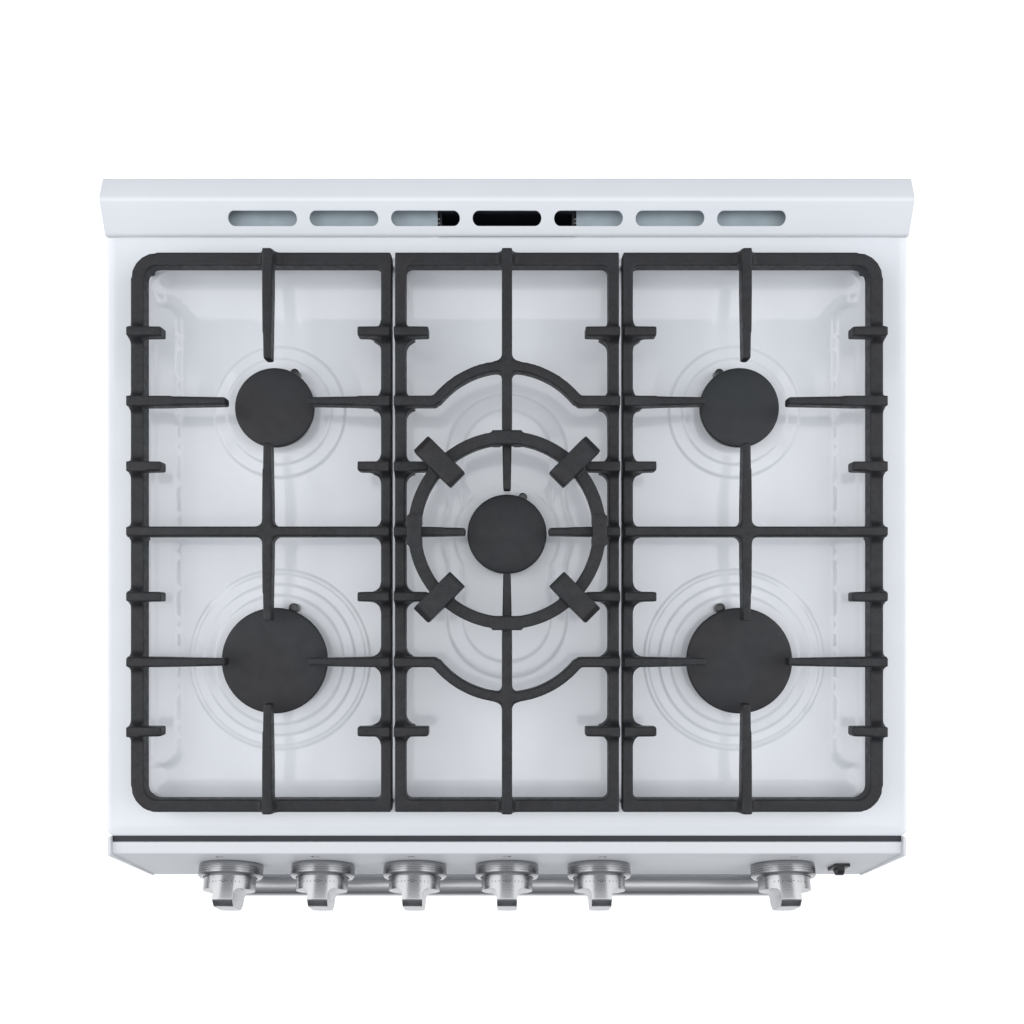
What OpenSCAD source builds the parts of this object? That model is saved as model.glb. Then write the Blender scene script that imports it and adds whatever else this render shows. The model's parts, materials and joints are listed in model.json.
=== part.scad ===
// Freestanding gas range: white enamelled body, five sealed burners, gas oven and storage drawer.
// Millimetres. +Z is up, +Y points to the wall, and the origin is on the floor under the middle.

/* [Body] */
// Overall width of the range
body_w = 762; // [756:1:768]
// Height of the cooktop rim above the floor
rim_z = 914; // [912:1:918]
// Y of the rear plane
rear_y = 362; // [360:1:364]
// Thickness of folded and pressed sheet metal
sheet = 2; // [1.5:0.5:2.5]

/* [Cooktop] */
// Depth of the sunken well below the rim
well_depth = 17; // [15:1:18]
// Half width of the well at the rim
well_x = 350; // [349:1:352]
// Half depth of the well at the rim
well_y = 262; // [261:1:264]
// Y of the middle burner, and of the middle of the well
mid_y = 26; // [25:1:27]
// Distance of the four outer burners to the side of the middle burner
burner_dx = 219.5; // [219:0.5:220]
// Distance of the four outer burners in front of and behind the middle burner
burner_dy = 119.5; // [119:0.5:120]
// Cap radius of the small burners
small_cap_r = 37.5; // [37:0.5:38]
// Cap radius of the large burners
large_cap_r = 50; // [49:0.5:50]

/* [Grates] */
// Height of the frame bars above the rim
grate_low = 12; // [12:1:13]
// Height of the finger tops above the rim
grate_top = 40; // [39:1:42]
// Depth of a bar
bar_h = 16; // [15:1:17]
// Width of a frame bar
bar_w = 12; // [11:1:13]
// Width of the frame bars where two grates meet
inner_bar_w = 10; // [9:1:11]
// Width of a finger
finger_w = 9.5; // [9:0.5:10]
// Half depth of each grate
grate_y = 259; // [258:1:260]
// Half width of the middle grate
mid_grate_x = 104.7; // [104:0.1:105]

/* [Controls] */
// Number of degrees that the control panel leans back
panel_tilt = 22.7; // [22:0.1:23]
// Radius of a knob's drum
drum_r = 26; // [25.5:0.5:26]
// Radius of the ring round each knob
bezel_r = 32; // [31:1:33]
// How far a knob pushes in
knob_push = 3; // [2:0.5:3]
// Radius of a valve stem
stem_r = 4; // [3.5:0.5:4]

/* [Oven] */
// Half width of the oven cavity
cavity_x = 292; // [290:1:294]
// Height of the cavity's top above the floor
cavity_top = 745; // [740:1:748]
// Radius of the door handle's tube
handle_r = 12.5; // [12:0.5:13]
// Height of the door's top edge
door_top = 780; // [776:1:782]
// Height of the door's bottom edge
door_bottom = 226; // [225:1:227]
// Height of the drawer front's top edge
drawer_top = 214; // [210:1:214]

/* [Hidden] */
half_w = body_w / 2;
well_z = rim_z - well_depth;
// Slope of the well's walls, taken in from the rim on each side
wall_in_x = 32;
wall_in_y = 36;
cooktop_front = mid_y - 287;
lip_y = mid_y + 283;
crease_y = mid_y + 313;
slot_y = mid_y + 297;
flue_x = 66;
pad_z = rim_z - 2;
cap_z = rim_z + 3;
cap_h = 7;
finger_z = rim_z + grate_top - bar_h;
tip_r = 38;
frame_front = -264;
frame_back = -262;
door_face = -294;
door_back = -270;
hinge_y = -280;
hinge_z = door_bottom + 8;
panel_x = half_w - 3.5;
knob_y = -303.55;
knob_z = rim_z - 64;
fit = 0.05;
side_x = half_w - 2.5;
leg_x = 358;
leg_front_y = -235;
leg_rear_y = 330;
cavity_floor = 290;
cavity_back = 232;
tray_x = 335;
// X of the gas supply pipe, and the height of the manifold it feeds
supply_x = 342;
supply_y = 300;
manifold_y = -249;
manifold_z = rim_z - 100;
door_x = half_w - 3;
window_x = 235;
window_low = 420;
window_high = 650;
handle_y = -rear_y + handle_r;
handle_z = rim_z - 165;
switch_x = 338;

// Grate feet: x and y from the middle burner
SIDE_FEET = [[337, grate_y - 11], [mid_grate_x + 6.3, grate_y - bar_w / 2]];
MIDDLE_FOOT = [mid_grate_x - inner_bar_w / 2, grate_y - bar_w / 2];

// Burners: x, y, cap radius, and the electrode's offset
BURNERS = [
  [-burner_dx, mid_y + burner_dy, small_cap_r, [17, 34]],
  [burner_dx, mid_y + burner_dy, small_cap_r, [-17, 34]],
  [0, mid_y, small_cap_r, [14, 35.5]],
  [-burner_dx, mid_y - burner_dy, large_cap_r, [16, 48.5]],
  [burner_dx, mid_y - burner_dy, large_cap_r, [-16, 48.5]]
];
CAP_NODES = [
  "cap_rear_left", "cap_rear_right", "cap_middle", "cap_front_left", "cap_front_right"
];
KNOB_X = [-279, -186, -93, 0, 93, 279];
KNOB_NODES = [
  "knob_front_left", "knob_rear_left", "knob_middle", "knob_rear_right", "knob_front_right", "knob_oven"
];
STEM_NODES = [
  "stem_front_left", "stem_rear_left", "stem_middle", "stem_rear_right", "stem_front_right", "stem_oven"
];
LEGS = [
  [-leg_x, leg_front_y], [leg_x, leg_front_y], [-leg_x, leg_rear_y], [leg_x, leg_rear_y]
];
LEG_NODES = ["leg_front_left", "leg_front_right", "leg_rear_left", "leg_rear_right"];
RACK_LEVELS = [420, 500, 580, 660];

$fn = 48;

// A box given by its lowest and highest corners
module span(low, high) {
  translate(low) cube(high - low);
}

// A flat rectangle with round corners, centred
module rounded_plate(w, d, r) {
  square([w - 2 * r, d], center = true);
  square([w, d - 2 * r], center = true);
  for (x = [-1, 1], y = [-1, 1])
    translate([x * (w / 2 - r), y * (d / 2 - r)]) circle(r);
}

// A shape drawn in Y and Z, extruded along X between two places
module along_x(x0, x1) {
  translate([x0, 0, 0]) rotate([90, 0, 90]) linear_extrude(x1 - x0) children();
}

// A rod along X, and a rod along Y
module rod_x(x0, x1, y, z, r) {
  translate([x0, y, z]) rotate([0, 90, 0]) cylinder(h = x1 - x0, r = r, $fn = 24);
}

module rod_y(y0, y1, x, z, r) {
  translate([x, y0, z]) rotate([-90, 0, 0]) cylinder(h = y1 - y0, r = r, $fn = 24);
}

// The place and lean of a control on the panel: local +Z points out of the face
module on_panel(x) {
  translate([x, knob_y, knob_z]) rotate([90 - panel_tilt, 0, 0]) children();
}

// ---- Cooktop ----

// The tapered block whose walls the well follows
module well_block(grow, drop) {
  hull() {
    translate([0, mid_y, rim_z - drop])
      linear_extrude(0.1) rounded_plate(2 * (well_x + grow), 2 * (well_y + grow), 30, $fn = 32);
    translate([0, mid_y, well_z - drop])
      linear_extrude(0.1)
        rounded_plate(2 * (well_x - wall_in_x + grow), 2 * (well_y - wall_in_y + grow), 24, $fn = 32);
  }
}

// The raised step pressed round a burner
module burner_step(b) {
  outer = b[2] + 25;
  translate([b[0], b[1], well_z - sheet]) cylinder(h = sheet + 4, r1 = outer + 3, r2 = outer - 10);
}

module cooktop() {
  color("white") {
    difference() {
      union() {
        difference() {
          span([-half_w, cooktop_front, rim_z - 20], [half_w, rear_y, rim_z]);
          span([-half_w + sheet, cooktop_front + sheet, rim_z - 21],
               [half_w - sheet, rear_y - sheet, rim_z - sheet]);
          well_block(0, -0.1);
        }
        difference() {
          well_block(sheet, sheet);
          well_block(0, 0);
          span([-half_w, cooktop_front, rim_z - 0.05], [half_w, rear_y, rim_z + 1]);
        }
        for (b = BURNERS) burner_step(b);
        grate_pads(well_z - sheet, pad_z, 6.6);
      }
      grate_pads(pad_z, rim_z + 1, 5.8);
      for (b = BURNERS)
        translate([b[0], b[1], well_z - 10]) cylinder(h = 30, r = b[2] - 13);
      for (b = BURNERS)
        translate([b[0] + b[3][0], b[1] + b[3][1], well_z - 10]) cylinder(h = 30, r = 3.6);
      span([-flue_x, slot_y - 11, rim_z - 5], [flue_x, slot_y + 13, rim_z + 1]);
    }
  }
}

// Flats pressed into the well's slope for the grate feet, and the room above them
module grate_pads(low, high, r) {
  for (f = concat(SIDE_FEET, [MIDDLE_FOOT]), x = [-1, 1], y = [-1, 1])
    translate([x * f[0], mid_y + y * f[1], low]) cylinder(h = high - low, r = r);
}

// ---- Rear vent trim ----

module backguard() {
  outer = [
    [lip_y, rim_z], [lip_y, rim_z + 4], [crease_y, rim_z + 19], [rear_y, rim_z + 9], [rear_y, rim_z]
  ];
  inner = [
    [lip_y + sheet, rim_z - 1], [lip_y + sheet, rim_z + 3], [crease_y, rim_z + 19 - sheet],
    [rear_y - sheet, rim_z + 9 - sheet], [rear_y - sheet, rim_z - 1]
  ];
  slot_half = 32.35;
  slot_r = 6.15;
  pitch = 76.7;
  color("whitesmoke") difference() {
    along_x(-half_w, half_w) polygon(outer);
    along_x(-half_w + sheet, half_w - sheet) polygon(inner);
    for (i = [-3:3]) {
      span([i * pitch - slot_half + slot_r, slot_y - slot_r, rim_z + 3],
           [i * pitch + slot_half - slot_r, slot_y + slot_r, rim_z + 25]);
      for (s = [-1, 1])
        translate([i * pitch + s * (slot_half - slot_r), slot_y, rim_z + 3]) cylinder(h = 22, r = slot_r);
    }
    span([-64, lip_y - 1, rim_z - 1], [64, lip_y + sheet + 1, rim_z + 1.5]);
  }
}

module flue_duct() {
  duct_back = slot_y + 11;
  duct_front = slot_y - 9;
  elbow_low = cavity_top - 45;
  color("dimgray") difference() {
    union() {
      span([-flue_x + 2, duct_front, elbow_low], [flue_x - 2, duct_back, rim_z - 0.5]);
      span([-flue_x + 2, cavity_back + sheet, elbow_low], [flue_x - 2, duct_front + 1, elbow_low + 30]);
    }
    span([-flue_x + 4, duct_front + 2, elbow_low + 2], [flue_x - 4, duct_back - 2, rim_z]);
    span([-flue_x + 4, cavity_back, elbow_low + 2], [flue_x - 4, duct_front + 5, elbow_low + 28]);
  }
}

// ---- Burners ----

// The injector cup that hangs under the cooktop
module burner_cups() {
  color("silver") for (b = BURNERS) translate([b[0], b[1], 0]) difference() {
    union() {
      translate([0, 0, well_z - 32]) cylinder(h = 36, r = b[2] - 13.5);
      translate([0, 0, well_z - 6]) cylinder(h = 4, r = b[2] - 8);
    }
    translate([0, 0, well_z - 28]) cylinder(h = 40, r = b[2] - 16.5);
  }
}

// The flame ring that the cap sits on
module burner_heads() {
  color("lightgray") for (b = BURNERS) translate([b[0], b[1], 0]) difference() {
    rotate_extrude() polygon([
      [b[2] - 20, well_z + 4], [b[2] - 3, well_z + 4], [b[2] - 3, well_z + 8], [b[2] - 6, well_z + 10],
      [b[2] - 6, cap_z], [b[2] - 18, cap_z], [b[2] - 20, cap_z - 4]
    ]);
    for (i = [0:11])
      rotate([0, 0, i * 30 + 15]) span([b[2] - 12, -1, cap_z - 6], [b[2], 1, cap_z - 2]);
  }
}

module burner_cap(b) {
  r = b[2];
  color("dimgray") translate([b[0], b[1], cap_z]) rotate_extrude($fn = 64) polygon([
    [0, -1], [r - 20.4, -1], [r - 20.4, 0], [r - 0.8, 0], [r, 0.8], [r, cap_h - 3], [r - 0.9, cap_h - 1.2],
    [r - 3, cap_h - 0.4], [r - 12, cap_h], [0, cap_h]
  ]);
}

module spark_electrodes() {
  color("ivory") for (b = BURNERS) translate([b[0] + b[3][0], b[1] + b[3][1], 0]) {
    translate([0, 0, well_z - 22]) cylinder(h = 38, r = 3.2);
    translate([0, 0, well_z + 16]) cylinder(h = 2.5, r = 1.2);
  }
}

// ---- Grates ----

// A bar between two corners, from the finger's bottom to its top
module finger(x0, x1, y0, y1) {
  span([x0, mid_y + y0, finger_z], [x1, mid_y + y1, rim_z + grate_top]);
}

module frame_bar(x0, x1, y0, y1) {
  span([x0, mid_y + y0, rim_z + grate_low], [x1, mid_y + y1, rim_z + grate_low + bar_h]);
}

module foot(x, y) {
  translate([x, mid_y + y, pad_z]) cylinder(h = rim_z + grate_low - pad_z + 1, r = 5);
}

// One side grate, drawn for the left: x0 is the outer edge and x1 the inner edge
module side_grate() {
  x0 = -348;
  x1 = -106;
  corner = 24;
  half = finger_w / 2;
  lug = 20;
  color([0.2, 0.2, 0.21]) {
    frame_bar(x0, x0 + bar_w, -grate_y + corner, grate_y - corner);
    frame_bar(x1 - inner_bar_w, x1, -grate_y, grate_y);
    for (s = [-1, 1]) {
      frame_bar(x0 + corner, x1, min(s * grate_y, s * (grate_y - bar_w)),
                max(s * grate_y, s * (grate_y - bar_w)));
      intersection() {
        translate([x0 + corner, mid_y + s * (grate_y - corner), rim_z + grate_low]) difference() {
          cylinder(h = bar_h, r = corner);
          translate([0, 0, -1]) cylinder(h = bar_h + 2, r = corner - bar_w);
        }
        frame_bar(x0, x0 + corner, min(s * grate_y, s * (grate_y - corner)),
                  max(s * grate_y, s * (grate_y - corner)));
      }
    }
    finger(x0, x1, -half, half);
    for (s = [-1, 1]) {
      finger(x0, -burner_dx - tip_r, s * burner_dy - half, s * burner_dy + half);
      finger(-burner_dx + tip_r, x1, s * burner_dy - half, s * burner_dy + half);
      for (y = [59.6, 183.3]) {
        finger(x0, x0 + bar_w + lug, s * y - half, s * y + half);
        finger(x1 - bar_w - lug, x1, s * y - half, s * y + half);
      }
      finger(-burner_dx - half, -burner_dx + half, min(s * grate_y, s * (burner_dy + tip_r)),
             max(s * grate_y, s * (burner_dy + tip_r)));
    }
    finger(-burner_dx - half, -burner_dx + half, -burner_dy + tip_r, burner_dy - tip_r);
    for (f = SIDE_FEET, s = [-1, 1]) foot(-f[0], s * f[1]);
  }
}

module grate_middle() {
  half = finger_w / 2;
  arc_r = 83;
  arc_y = 68.7;
  stub_x = 65.6;
  stub_y = 119.6;
  x = mid_grate_x;
  color([0.2, 0.2, 0.21]) {
    for (s = [-1, 1]) {
      frame_bar(min(s * x, s * (x - inner_bar_w)), max(s * x, s * (x - inner_bar_w)), -grate_y, grate_y);
      frame_bar(-x, x, min(s * grate_y, s * (grate_y - bar_w)), max(s * grate_y, s * (grate_y - bar_w)));
      finger(-half, half, min(s * grate_y, s * tip_r), max(s * grate_y, s * tip_r));
      finger(min(s * x, s * tip_r), max(s * x, s * tip_r), -half, half);
      for (y = [-183.3, -59.6, 59.6, 183.3])
        finger(min(s * x, s * (x - bar_w - 20)), max(s * x, s * (x - bar_w - 20)), y - half, y + half);
      for (t = [-1, 1])
        finger(min(t * x, t * (stub_x - 3)), max(t * x, t * (stub_x - 3)),
               s * stub_y - half, s * stub_y + half);
      intersection() {
        translate([0, mid_y + s * arc_y, finger_z]) difference() {
          cylinder(h = bar_h, r = arc_r + half, $fn = 96);
          translate([0, 0, -1]) cylinder(h = bar_h + 2, r = arc_r - half, $fn = 96);
        }
        finger(-x, x, min(s * 160, s * (stub_y - half)), max(s * 160, s * (stub_y - half)));
      }
      for (t = [-1, 1]) foot(s * MIDDLE_FOOT[0], t * MIDDLE_FOOT[1]);
    }
  }
}

module wok_ring() {
  ring_z = rim_z + grate_top;
  outer = 89.3;
  inner = 78;
  color([0.2, 0.2, 0.21]) translate([0, mid_y, 0]) difference() {
    union() {
      translate([0, 0, ring_z]) cylinder(h = 14, r = outer, $fn = 96);
      for (a = [0:90:270]) rotate([0, 0, a])
        span([inner - 1, -13.5, ring_z - 6], [outer + 1, 13.5, ring_z + 14]);
      for (a = [45:90:315]) rotate([0, 0, a]) span([62.5, -9.3, ring_z + 6], [109, 9.3, ring_z + 26]);
    }
    difference() {
      translate([0, 0, ring_z - 10]) cylinder(h = 50, r = inner, $fn = 96);
      for (a = [45:90:315]) rotate([0, 0, a]) span([60, -9.3, ring_z + 6], [80, 9.3, ring_z + 30]);
    }
    for (a = [0, 90]) rotate([0, 0, a])
      span([-110, -finger_w / 2 - 0.5, ring_z - 10], [110, finger_w / 2 + 0.5, ring_z]);
  }
}

// ---- Control panel and knobs ----

module control_panel() {
  top_back = cooktop_front - 6.4;
  top_front = -278.8;
  foot_front = -328.3;
  top_z = rim_z - 5;
  foot_z = rim_z - 123.5;
  outer = [[top_back, top_z], [top_front, top_z], [foot_front, foot_z], [top_back, foot_z]];
  inner = [
    [top_back + 3, top_z - sheet], [top_front + 0.6, top_z - sheet], [foot_front + 3.1, foot_z + sheet],
    [top_back + 3, foot_z + sheet]
  ];
  color("white") difference() {
    along_x(-panel_x, panel_x) polygon(outer);
    along_x(-panel_x + 3, panel_x - 3) polygon(inner);
    for (x = KNOB_X) on_panel(x) translate([0, 0, -20]) cylinder(h = 40, r = 7);
    on_panel(switch_x) span([-5, -18, -20], [5, 6, 20]);
  }
}

module knob_bezels() {
  color("silver") for (x = KNOB_X) on_panel(x) difference() {
    rotate_extrude($fn = 64) polygon([
      [8, 0.2], [bezel_r, 0.2], [bezel_r, 4], [bezel_r - 1.5, 5.5], [bezel_r - 3.5, 5.5],
      [bezel_r - 3.5, 12], [bezel_r - 5, 13.5], [drum_r + 0.5, 13.5], [drum_r + 0.5, 5], [8, 5]
    ]);
  }
}

// The knob: a drum with a thick grip blade across its face
module knob() {
  drum_low = 5.3 + knob_push;
  drum_top = 26;
  taper_z = 37.5;
  tip_z = 43.2;
  color("silver") difference() {
    intersection() {
      union() {
        translate([0, 0, drum_low])
          cylinder(h = taper_z - drum_low, r1 = drum_r, r2 = drum_r - 1, $fn = 64);
        translate([0, 0, taper_z - 0.1])
          cylinder(h = tip_z - taper_z + 0.1, r1 = drum_r - 1, r2 = 18.5, $fn = 64);
      }
      union() {
        span([-30, -30, drum_low], [30, 30, drum_top]);
        span([-10, -30, drum_top - 1], [10, 30, tip_z]);
      }
    }
    translate([0, 0, drum_low - 1]) cylinder(h = 24, r = stem_r + fit);
  }
}

module stem() {
  color("goldenrod") difference() {
    translate([0, 0, -26]) cylinder(h = 26 + 5.3 + knob_push + 19, r = stem_r);
    span([stem_r - 1.2, -5, 8], [stem_r + 1, 5, 40]);
  }
}

module switch_housing() {
  color([0.1, 0.1, 0.1]) on_panel(switch_x) difference() {
    union() {
      span([-7.5, -20, 0], [7.5, 8, 3]);
      span([-4.8, -17.8, -16], [4.8, 5.8, 1]);
    }
    span([-3.7, -16, -12], [3.7, 4, 4]);
  }
}

module switch_rocker() {
  color([0.15, 0.15, 0.15]) on_panel(switch_x) translate([0, -6, 0]) {
    intersection() {
      rotate([0, 90, 0]) translate([-1, 0, -3.4]) cylinder(h = 6.8, r = 8.6);
      span([-3.4, -9, -3], [3.4, 9, 12]);
    }
  }
}

module gas_manifold() {
  color("gray") {
    rod_x(-310, supply_x, manifold_y, manifold_z, 9);
    rod_y(manifold_y, supply_y, supply_x, manifold_z, 7);
    translate([supply_x, supply_y, 150]) cylinder(h = manifold_z - 150, r = 7);
    translate([supply_x, supply_y, manifold_z]) sphere(7);
    translate([supply_x, manifold_y, manifold_z]) sphere(9);
    for (x = KNOB_X)
      translate([x, manifold_y - 4, manifold_z + 4]) rotate([20, 0, 0]) cylinder(h = 14, r = 6);
  }
}

module gas_valves() {
  color("goldenrod") for (x = KNOB_X) on_panel(x) difference() {
    union() {
      span([-13, -14, -48], [13, 14, -18]);
      translate([0, 0, -19]) cylinder(h = 14, r = 9);
    }
    translate([0, 0, -28]) cylinder(h = 40, r = stem_r + fit);
  }
}

// The regulator, with the threaded inlet for the house supply
module gas_inlet() {
  color("silver") {
    translate([supply_x, supply_y, 100]) cylinder(h = 50, r = 14);
    difference() {
      rod_y(supply_y, rear_y, supply_x, 120, 15);
      rod_y(rear_y - 18, rear_y + 1, supply_x, 120, 9.2);
    }
  }
}

// ---- Body ----

module side_panel() {
  color("white") {
    span([side_x - sheet, cooktop_front + 2.5, 45], [side_x, rear_y - 4, rim_z - 3]);
    span([side_x - sheet, frame_front, 45], [side_x, cooktop_front + 3, rim_z - 21]);
    span([side_x - 14, frame_front, 45], [side_x, frame_back, rim_z - 21]);
    span([side_x - 14, rear_y - 6, 45], [side_x, rear_y - 4, rim_z - 3]);
  }
}

module back_panel() {
  color("lightgray") difference() {
    union() {
      span([-side_x + sheet + 0.5, rear_y - 12, 50], [side_x - sheet - 0.5, rear_y - 10, rim_z - 22]);
      rod_y(rear_y - 11, rear_y - 4, -300, 140, 9);
      for (x = [-200, 0, 200]) span([x - 2, rear_y - 10, 230], [x + 2, rear_y - 7, 690]);
    }
    rod_y(rear_y - 20, rear_y, -300, 140, 4.5);
    rod_y(rear_y - 20, rear_y, supply_x, 120, 17);
    for (i = [0:9]) span([-150, rear_y - 20, 760 + i * 10], [150, rear_y, 764 + i * 10]);
  }
}

module base_frame() {
  drawer_slot = tray_x + 8;
  color("gray") difference() {
    union() {
      for (s = [-1, 1])
        span(
          [min(s * drawer_slot, s * 376), frame_back, 46],
          [max(s * drawer_slot, s * 376), rear_y - 13, 50]
        );
      for (s = [-1, 1])
        span([min(s * (drawer_slot - 20), s * drawer_slot), frame_back, 46],
             [max(s * (drawer_slot - 20), s * drawer_slot), 250, 65.7]);
      span([-376, rear_y - 60, 46], [376, rear_y - 13, 50]);
      span([-376, frame_back, 46], [376, -222, 50]);
      for (l = LEGS) translate([l[0], l[1], 38]) cylinder(h = 26, r = 12);
    }
    for (l = LEGS) translate([l[0], l[1], 30]) cylinder(h = 50, r = 6 + fit);
    span([-drawer_slot + 18, -263, 50.1], [drawer_slot - 18, 251, 70]);
  }
}

module front_frame() {
  color([0.32, 0.34, 0.38]) difference() {
    union() {
      span([-side_x + 14.3, frame_front, 52], [side_x - 14.3, frame_back, rim_z - 6]);
      span([-panel_x, cooktop_front - 6.2, rim_z - 8], [panel_x, cooktop_front - 0.3, rim_z - 6]);
    }
    span([-352, -270, rim_z - 122], [352, -260, rim_z - 44]);
    span([-cavity_x, -270, 342], [cavity_x, -260, cavity_top]);
    span([-tray_x - 5, -270, 60], [tray_x + 5, -260, drawer_top - 4]);
  }
}

module oven_cavity() {
  color([0.25, 0.26, 0.3]) difference() {
    span([-cavity_x - sheet, frame_back, cavity_floor - sheet],
         [cavity_x + sheet, cavity_back + sheet, cavity_top + sheet]);
    span([-cavity_x, -263, cavity_floor], [cavity_x, cavity_back, cavity_top]);
    span([-flue_x + 4, cavity_back - 1, cavity_top - 43], [flue_x - 4, cavity_back + 5, cavity_top - 17]);
    rod_y(cavity_back - 5, cavity_back + 8, -200, 690, 14);
  }
}

module oven_insulation() {
  g = sheet + 0.3;
  color("khaki") difference() {
    span([-332, -260, cavity_floor - 36], [332, 268, cavity_top + 38]);
    span([-cavity_x - g, -261, cavity_floor - g], [cavity_x + g, cavity_back + g, cavity_top + g]);
    span([-flue_x + 1, cavity_back - 1, cavity_top - 46], [flue_x - 1, 270, cavity_top - 14]);
    rod_y(cavity_back - 5, 270, -200, 690, 20);
  }
}

module oven_floor() {
  color([0.3, 0.31, 0.35]) difference() {
    span([-cavity_x + 1, -255, 344], [cavity_x - 1, cavity_back - 1, 346]);
    for (x = [-250, 250], i = [0:8]) span([x - 18, -200 + i * 45, 340], [x + 18, -194 + i * 45, 350]);
  }
}

module oven_burners() {
  color("silver") {
    for (x = [-70, 70]) rod_y(-215, 205, x, 312, 10);
    rod_x(-70, 70, -205, 312, 10);
    rod_y(205, cavity_back, -70, 312, 6);
    rod_y(-150, cavity_back, 0, cavity_top - 22, 10);
    span([-150, -160, cavity_top - 10], [150, 160, cavity_top - 8]);
    for (y = [-120, 120]) span([-6, y - 4, cavity_top - 15], [6, y + 4, cavity_top]);
  }
}

module rack_guides() {
  color("silver") for (s = [-1, 1]) {
    for (y = [-190, 190]) translate([s * (cavity_x - 3), y, 352]) cylinder(h = 370, r = 2.5, $fn = 24);
    for (z = RACK_LEVELS) rod_y(-220, 220, s * (cavity_x - 7), z, 2.5);
  }
}

// A wire rack whose side wires lie on the guides
module oven_rack(level) {
  z = level + 6;
  x = cavity_x - 10;
  color("silver") {
    for (s = [-1, 1]) rod_y(-200, 205, s * x, z, 3);
    rod_x(-x, x, -200, z, 3);
    rod_x(-x, x, 0, z, 2.5);
    rod_x(-x, x, 205, z, 3);
    for (i = [-9:9]) rod_y(-200, 205, i * 28, z + 2.5, 2);
  }
}

module oven_light() {
  color("ivory") {
    rod_y(cavity_back - 14, cavity_back + 6, -200, 690, 13);
    rod_y(cavity_back + 6, cavity_back + 30, -200, 690, 10);
  }
}

// ---- Door ----

module hinge_notches() {
  for (s = [-1, 1]) span([s * 300 - 7, -300, door_bottom - 1], [s * 300 + 7, -260, hinge_z + 22]);
}

module door_skin() {
  color("white") difference() {
    span([-door_x, door_face, door_bottom], [door_x, door_back, door_top]);
    span([-door_x + sheet, door_face + sheet, door_bottom + sheet],
         [door_x - sheet, door_back + 1, door_top - sheet]);
    span([-window_x, door_face - 1, window_low], [window_x, door_face + 3, window_high]);
    for (s = [-1, 1])
      span(
        [s * 300 - 7, door_face + sheet, door_bottom - 1],
        [s * 300 + 7, door_back + 1, door_bottom + 3]
      );
  }
}

module door_window() {
  color([0.1, 0.1, 0.12]) span(
    [-window_x - 18, door_face + sheet, window_low - 18],
    [window_x + 18, door_face + sheet + 4, window_high + 18]);
}

module door_liner() {
  inner_x = 250;
  color([0.35, 0.36, 0.4]) {
    difference() {
      span([-door_x, door_back, door_bottom + 4], [door_x, door_back + 4, door_top]);
      span([-window_x, door_back - 1, window_low], [window_x, door_back + 5, window_high]);
      hinge_notches();
    }
    span([-inner_x, door_back - 3, window_low - 12], [inner_x, door_back, window_high + 12]);
    for (s = [-1, 1]) difference() {
      span([s * 312 - 4, hinge_y - 10, hinge_z - 5.8], [s * 312 + 4, door_back, hinge_z + 12]);
      rod_x(s * 312 - 6, s * 312 + 6, hinge_y, hinge_z, 4 + fit);
    }
  }
}

module door_gasket() {
  color([0.15, 0.15, 0.15]) difference() {
    span([-310, -266, 320], [310, -264.3, cavity_top + 20]);
    span([-300, -267, 330], [300, -264, cavity_top + 10]);
  }
}

module door_handle() {
  color("silver") rod_x(-315, 315, handle_y, handle_z, handle_r, $fn = 48);
}

module handle_brackets() {
  color("silver") for (s = [-1, 1]) difference() {
    union() {
      rod_y(handle_y, door_face, s * 290, handle_z, 8);
      rod_y(door_face - 4, door_face, s * 290, handle_z, 13);
    }
    rod_x(s * 290 - 20, s * 290 + 20, handle_y, handle_z, handle_r + 0.02);
  }
}

module door_hinges() {
  color("gray") for (s = [-1, 1]) {
    span([s * 300 - 3, hinge_y, hinge_z - 5], [s * 300 + 3, -264, hinge_z + 5]);
    rod_x(s * 300 - 3, s * 300 + 3, hinge_y, hinge_z, 8);
    rod_x(min(s * 300, s * 318), max(s * 300, s * 318), hinge_y, hinge_z, 4);
  }
}

module drawer_front() {
  color("white") difference() {
    span([-door_x, door_face, 55], [door_x, door_back, drawer_top]);
    span([-door_x + sheet, door_face + sheet, 55 + sheet],
         [door_x - sheet, door_back + 1, drawer_top - sheet]);
  }
}

module drawer_box() {
  color("lightgray") difference() {
    span([-tray_x, door_back, 66], [tray_x, 240, 190]);
    span([-tray_x + sheet, door_back + sheet, 66 + sheet], [tray_x - sheet, 240 - sheet, 191]);
  }
}

module leg() {
  color([0.12, 0.12, 0.12]) {
    cylinder(h = 10, r = 19);
    translate([0, 0, 10]) cylinder(h = 6, r1 = 19, r2 = 9);
    cylinder(h = 76, r = 6);
  }
}

cooktop();
backguard();
flue_duct();
burner_cups();
burner_heads();
spark_electrodes();
for (i = [0:4]) burner_cap(BURNERS[i]);
side_grate();  // grate_left
grate_middle();
mirror([1, 0, 0]) side_grate();  // grate_right
wok_ring();
control_panel();
knob_bezels();
for (i = [0:5]) on_panel(KNOB_X[i]) knob();
for (i = [0:5]) on_panel(KNOB_X[i]) stem();
switch_housing();
switch_rocker();
gas_manifold();
gas_valves();
gas_inlet();
mirror([1, 0, 0]) side_panel();  // side_panel_left
side_panel();  // side_panel_right
back_panel();
base_frame();
front_frame();
oven_cavity();
oven_insulation();
oven_floor();
oven_burners();
rack_guides();
oven_rack(RACK_LEVELS[0]);  // oven_rack_lower
oven_rack(RACK_LEVELS[2]);  // oven_rack_upper
oven_light();
door_skin();
door_window();
door_liner();
door_gasket();
door_handle();
handle_brackets();
door_hinges();
drawer_front();
drawer_box();
for (i = [0:3]) translate([LEGS[i][0], LEGS[i][1], 0]) leg();
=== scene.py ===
import math
from bisect import bisect

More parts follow.
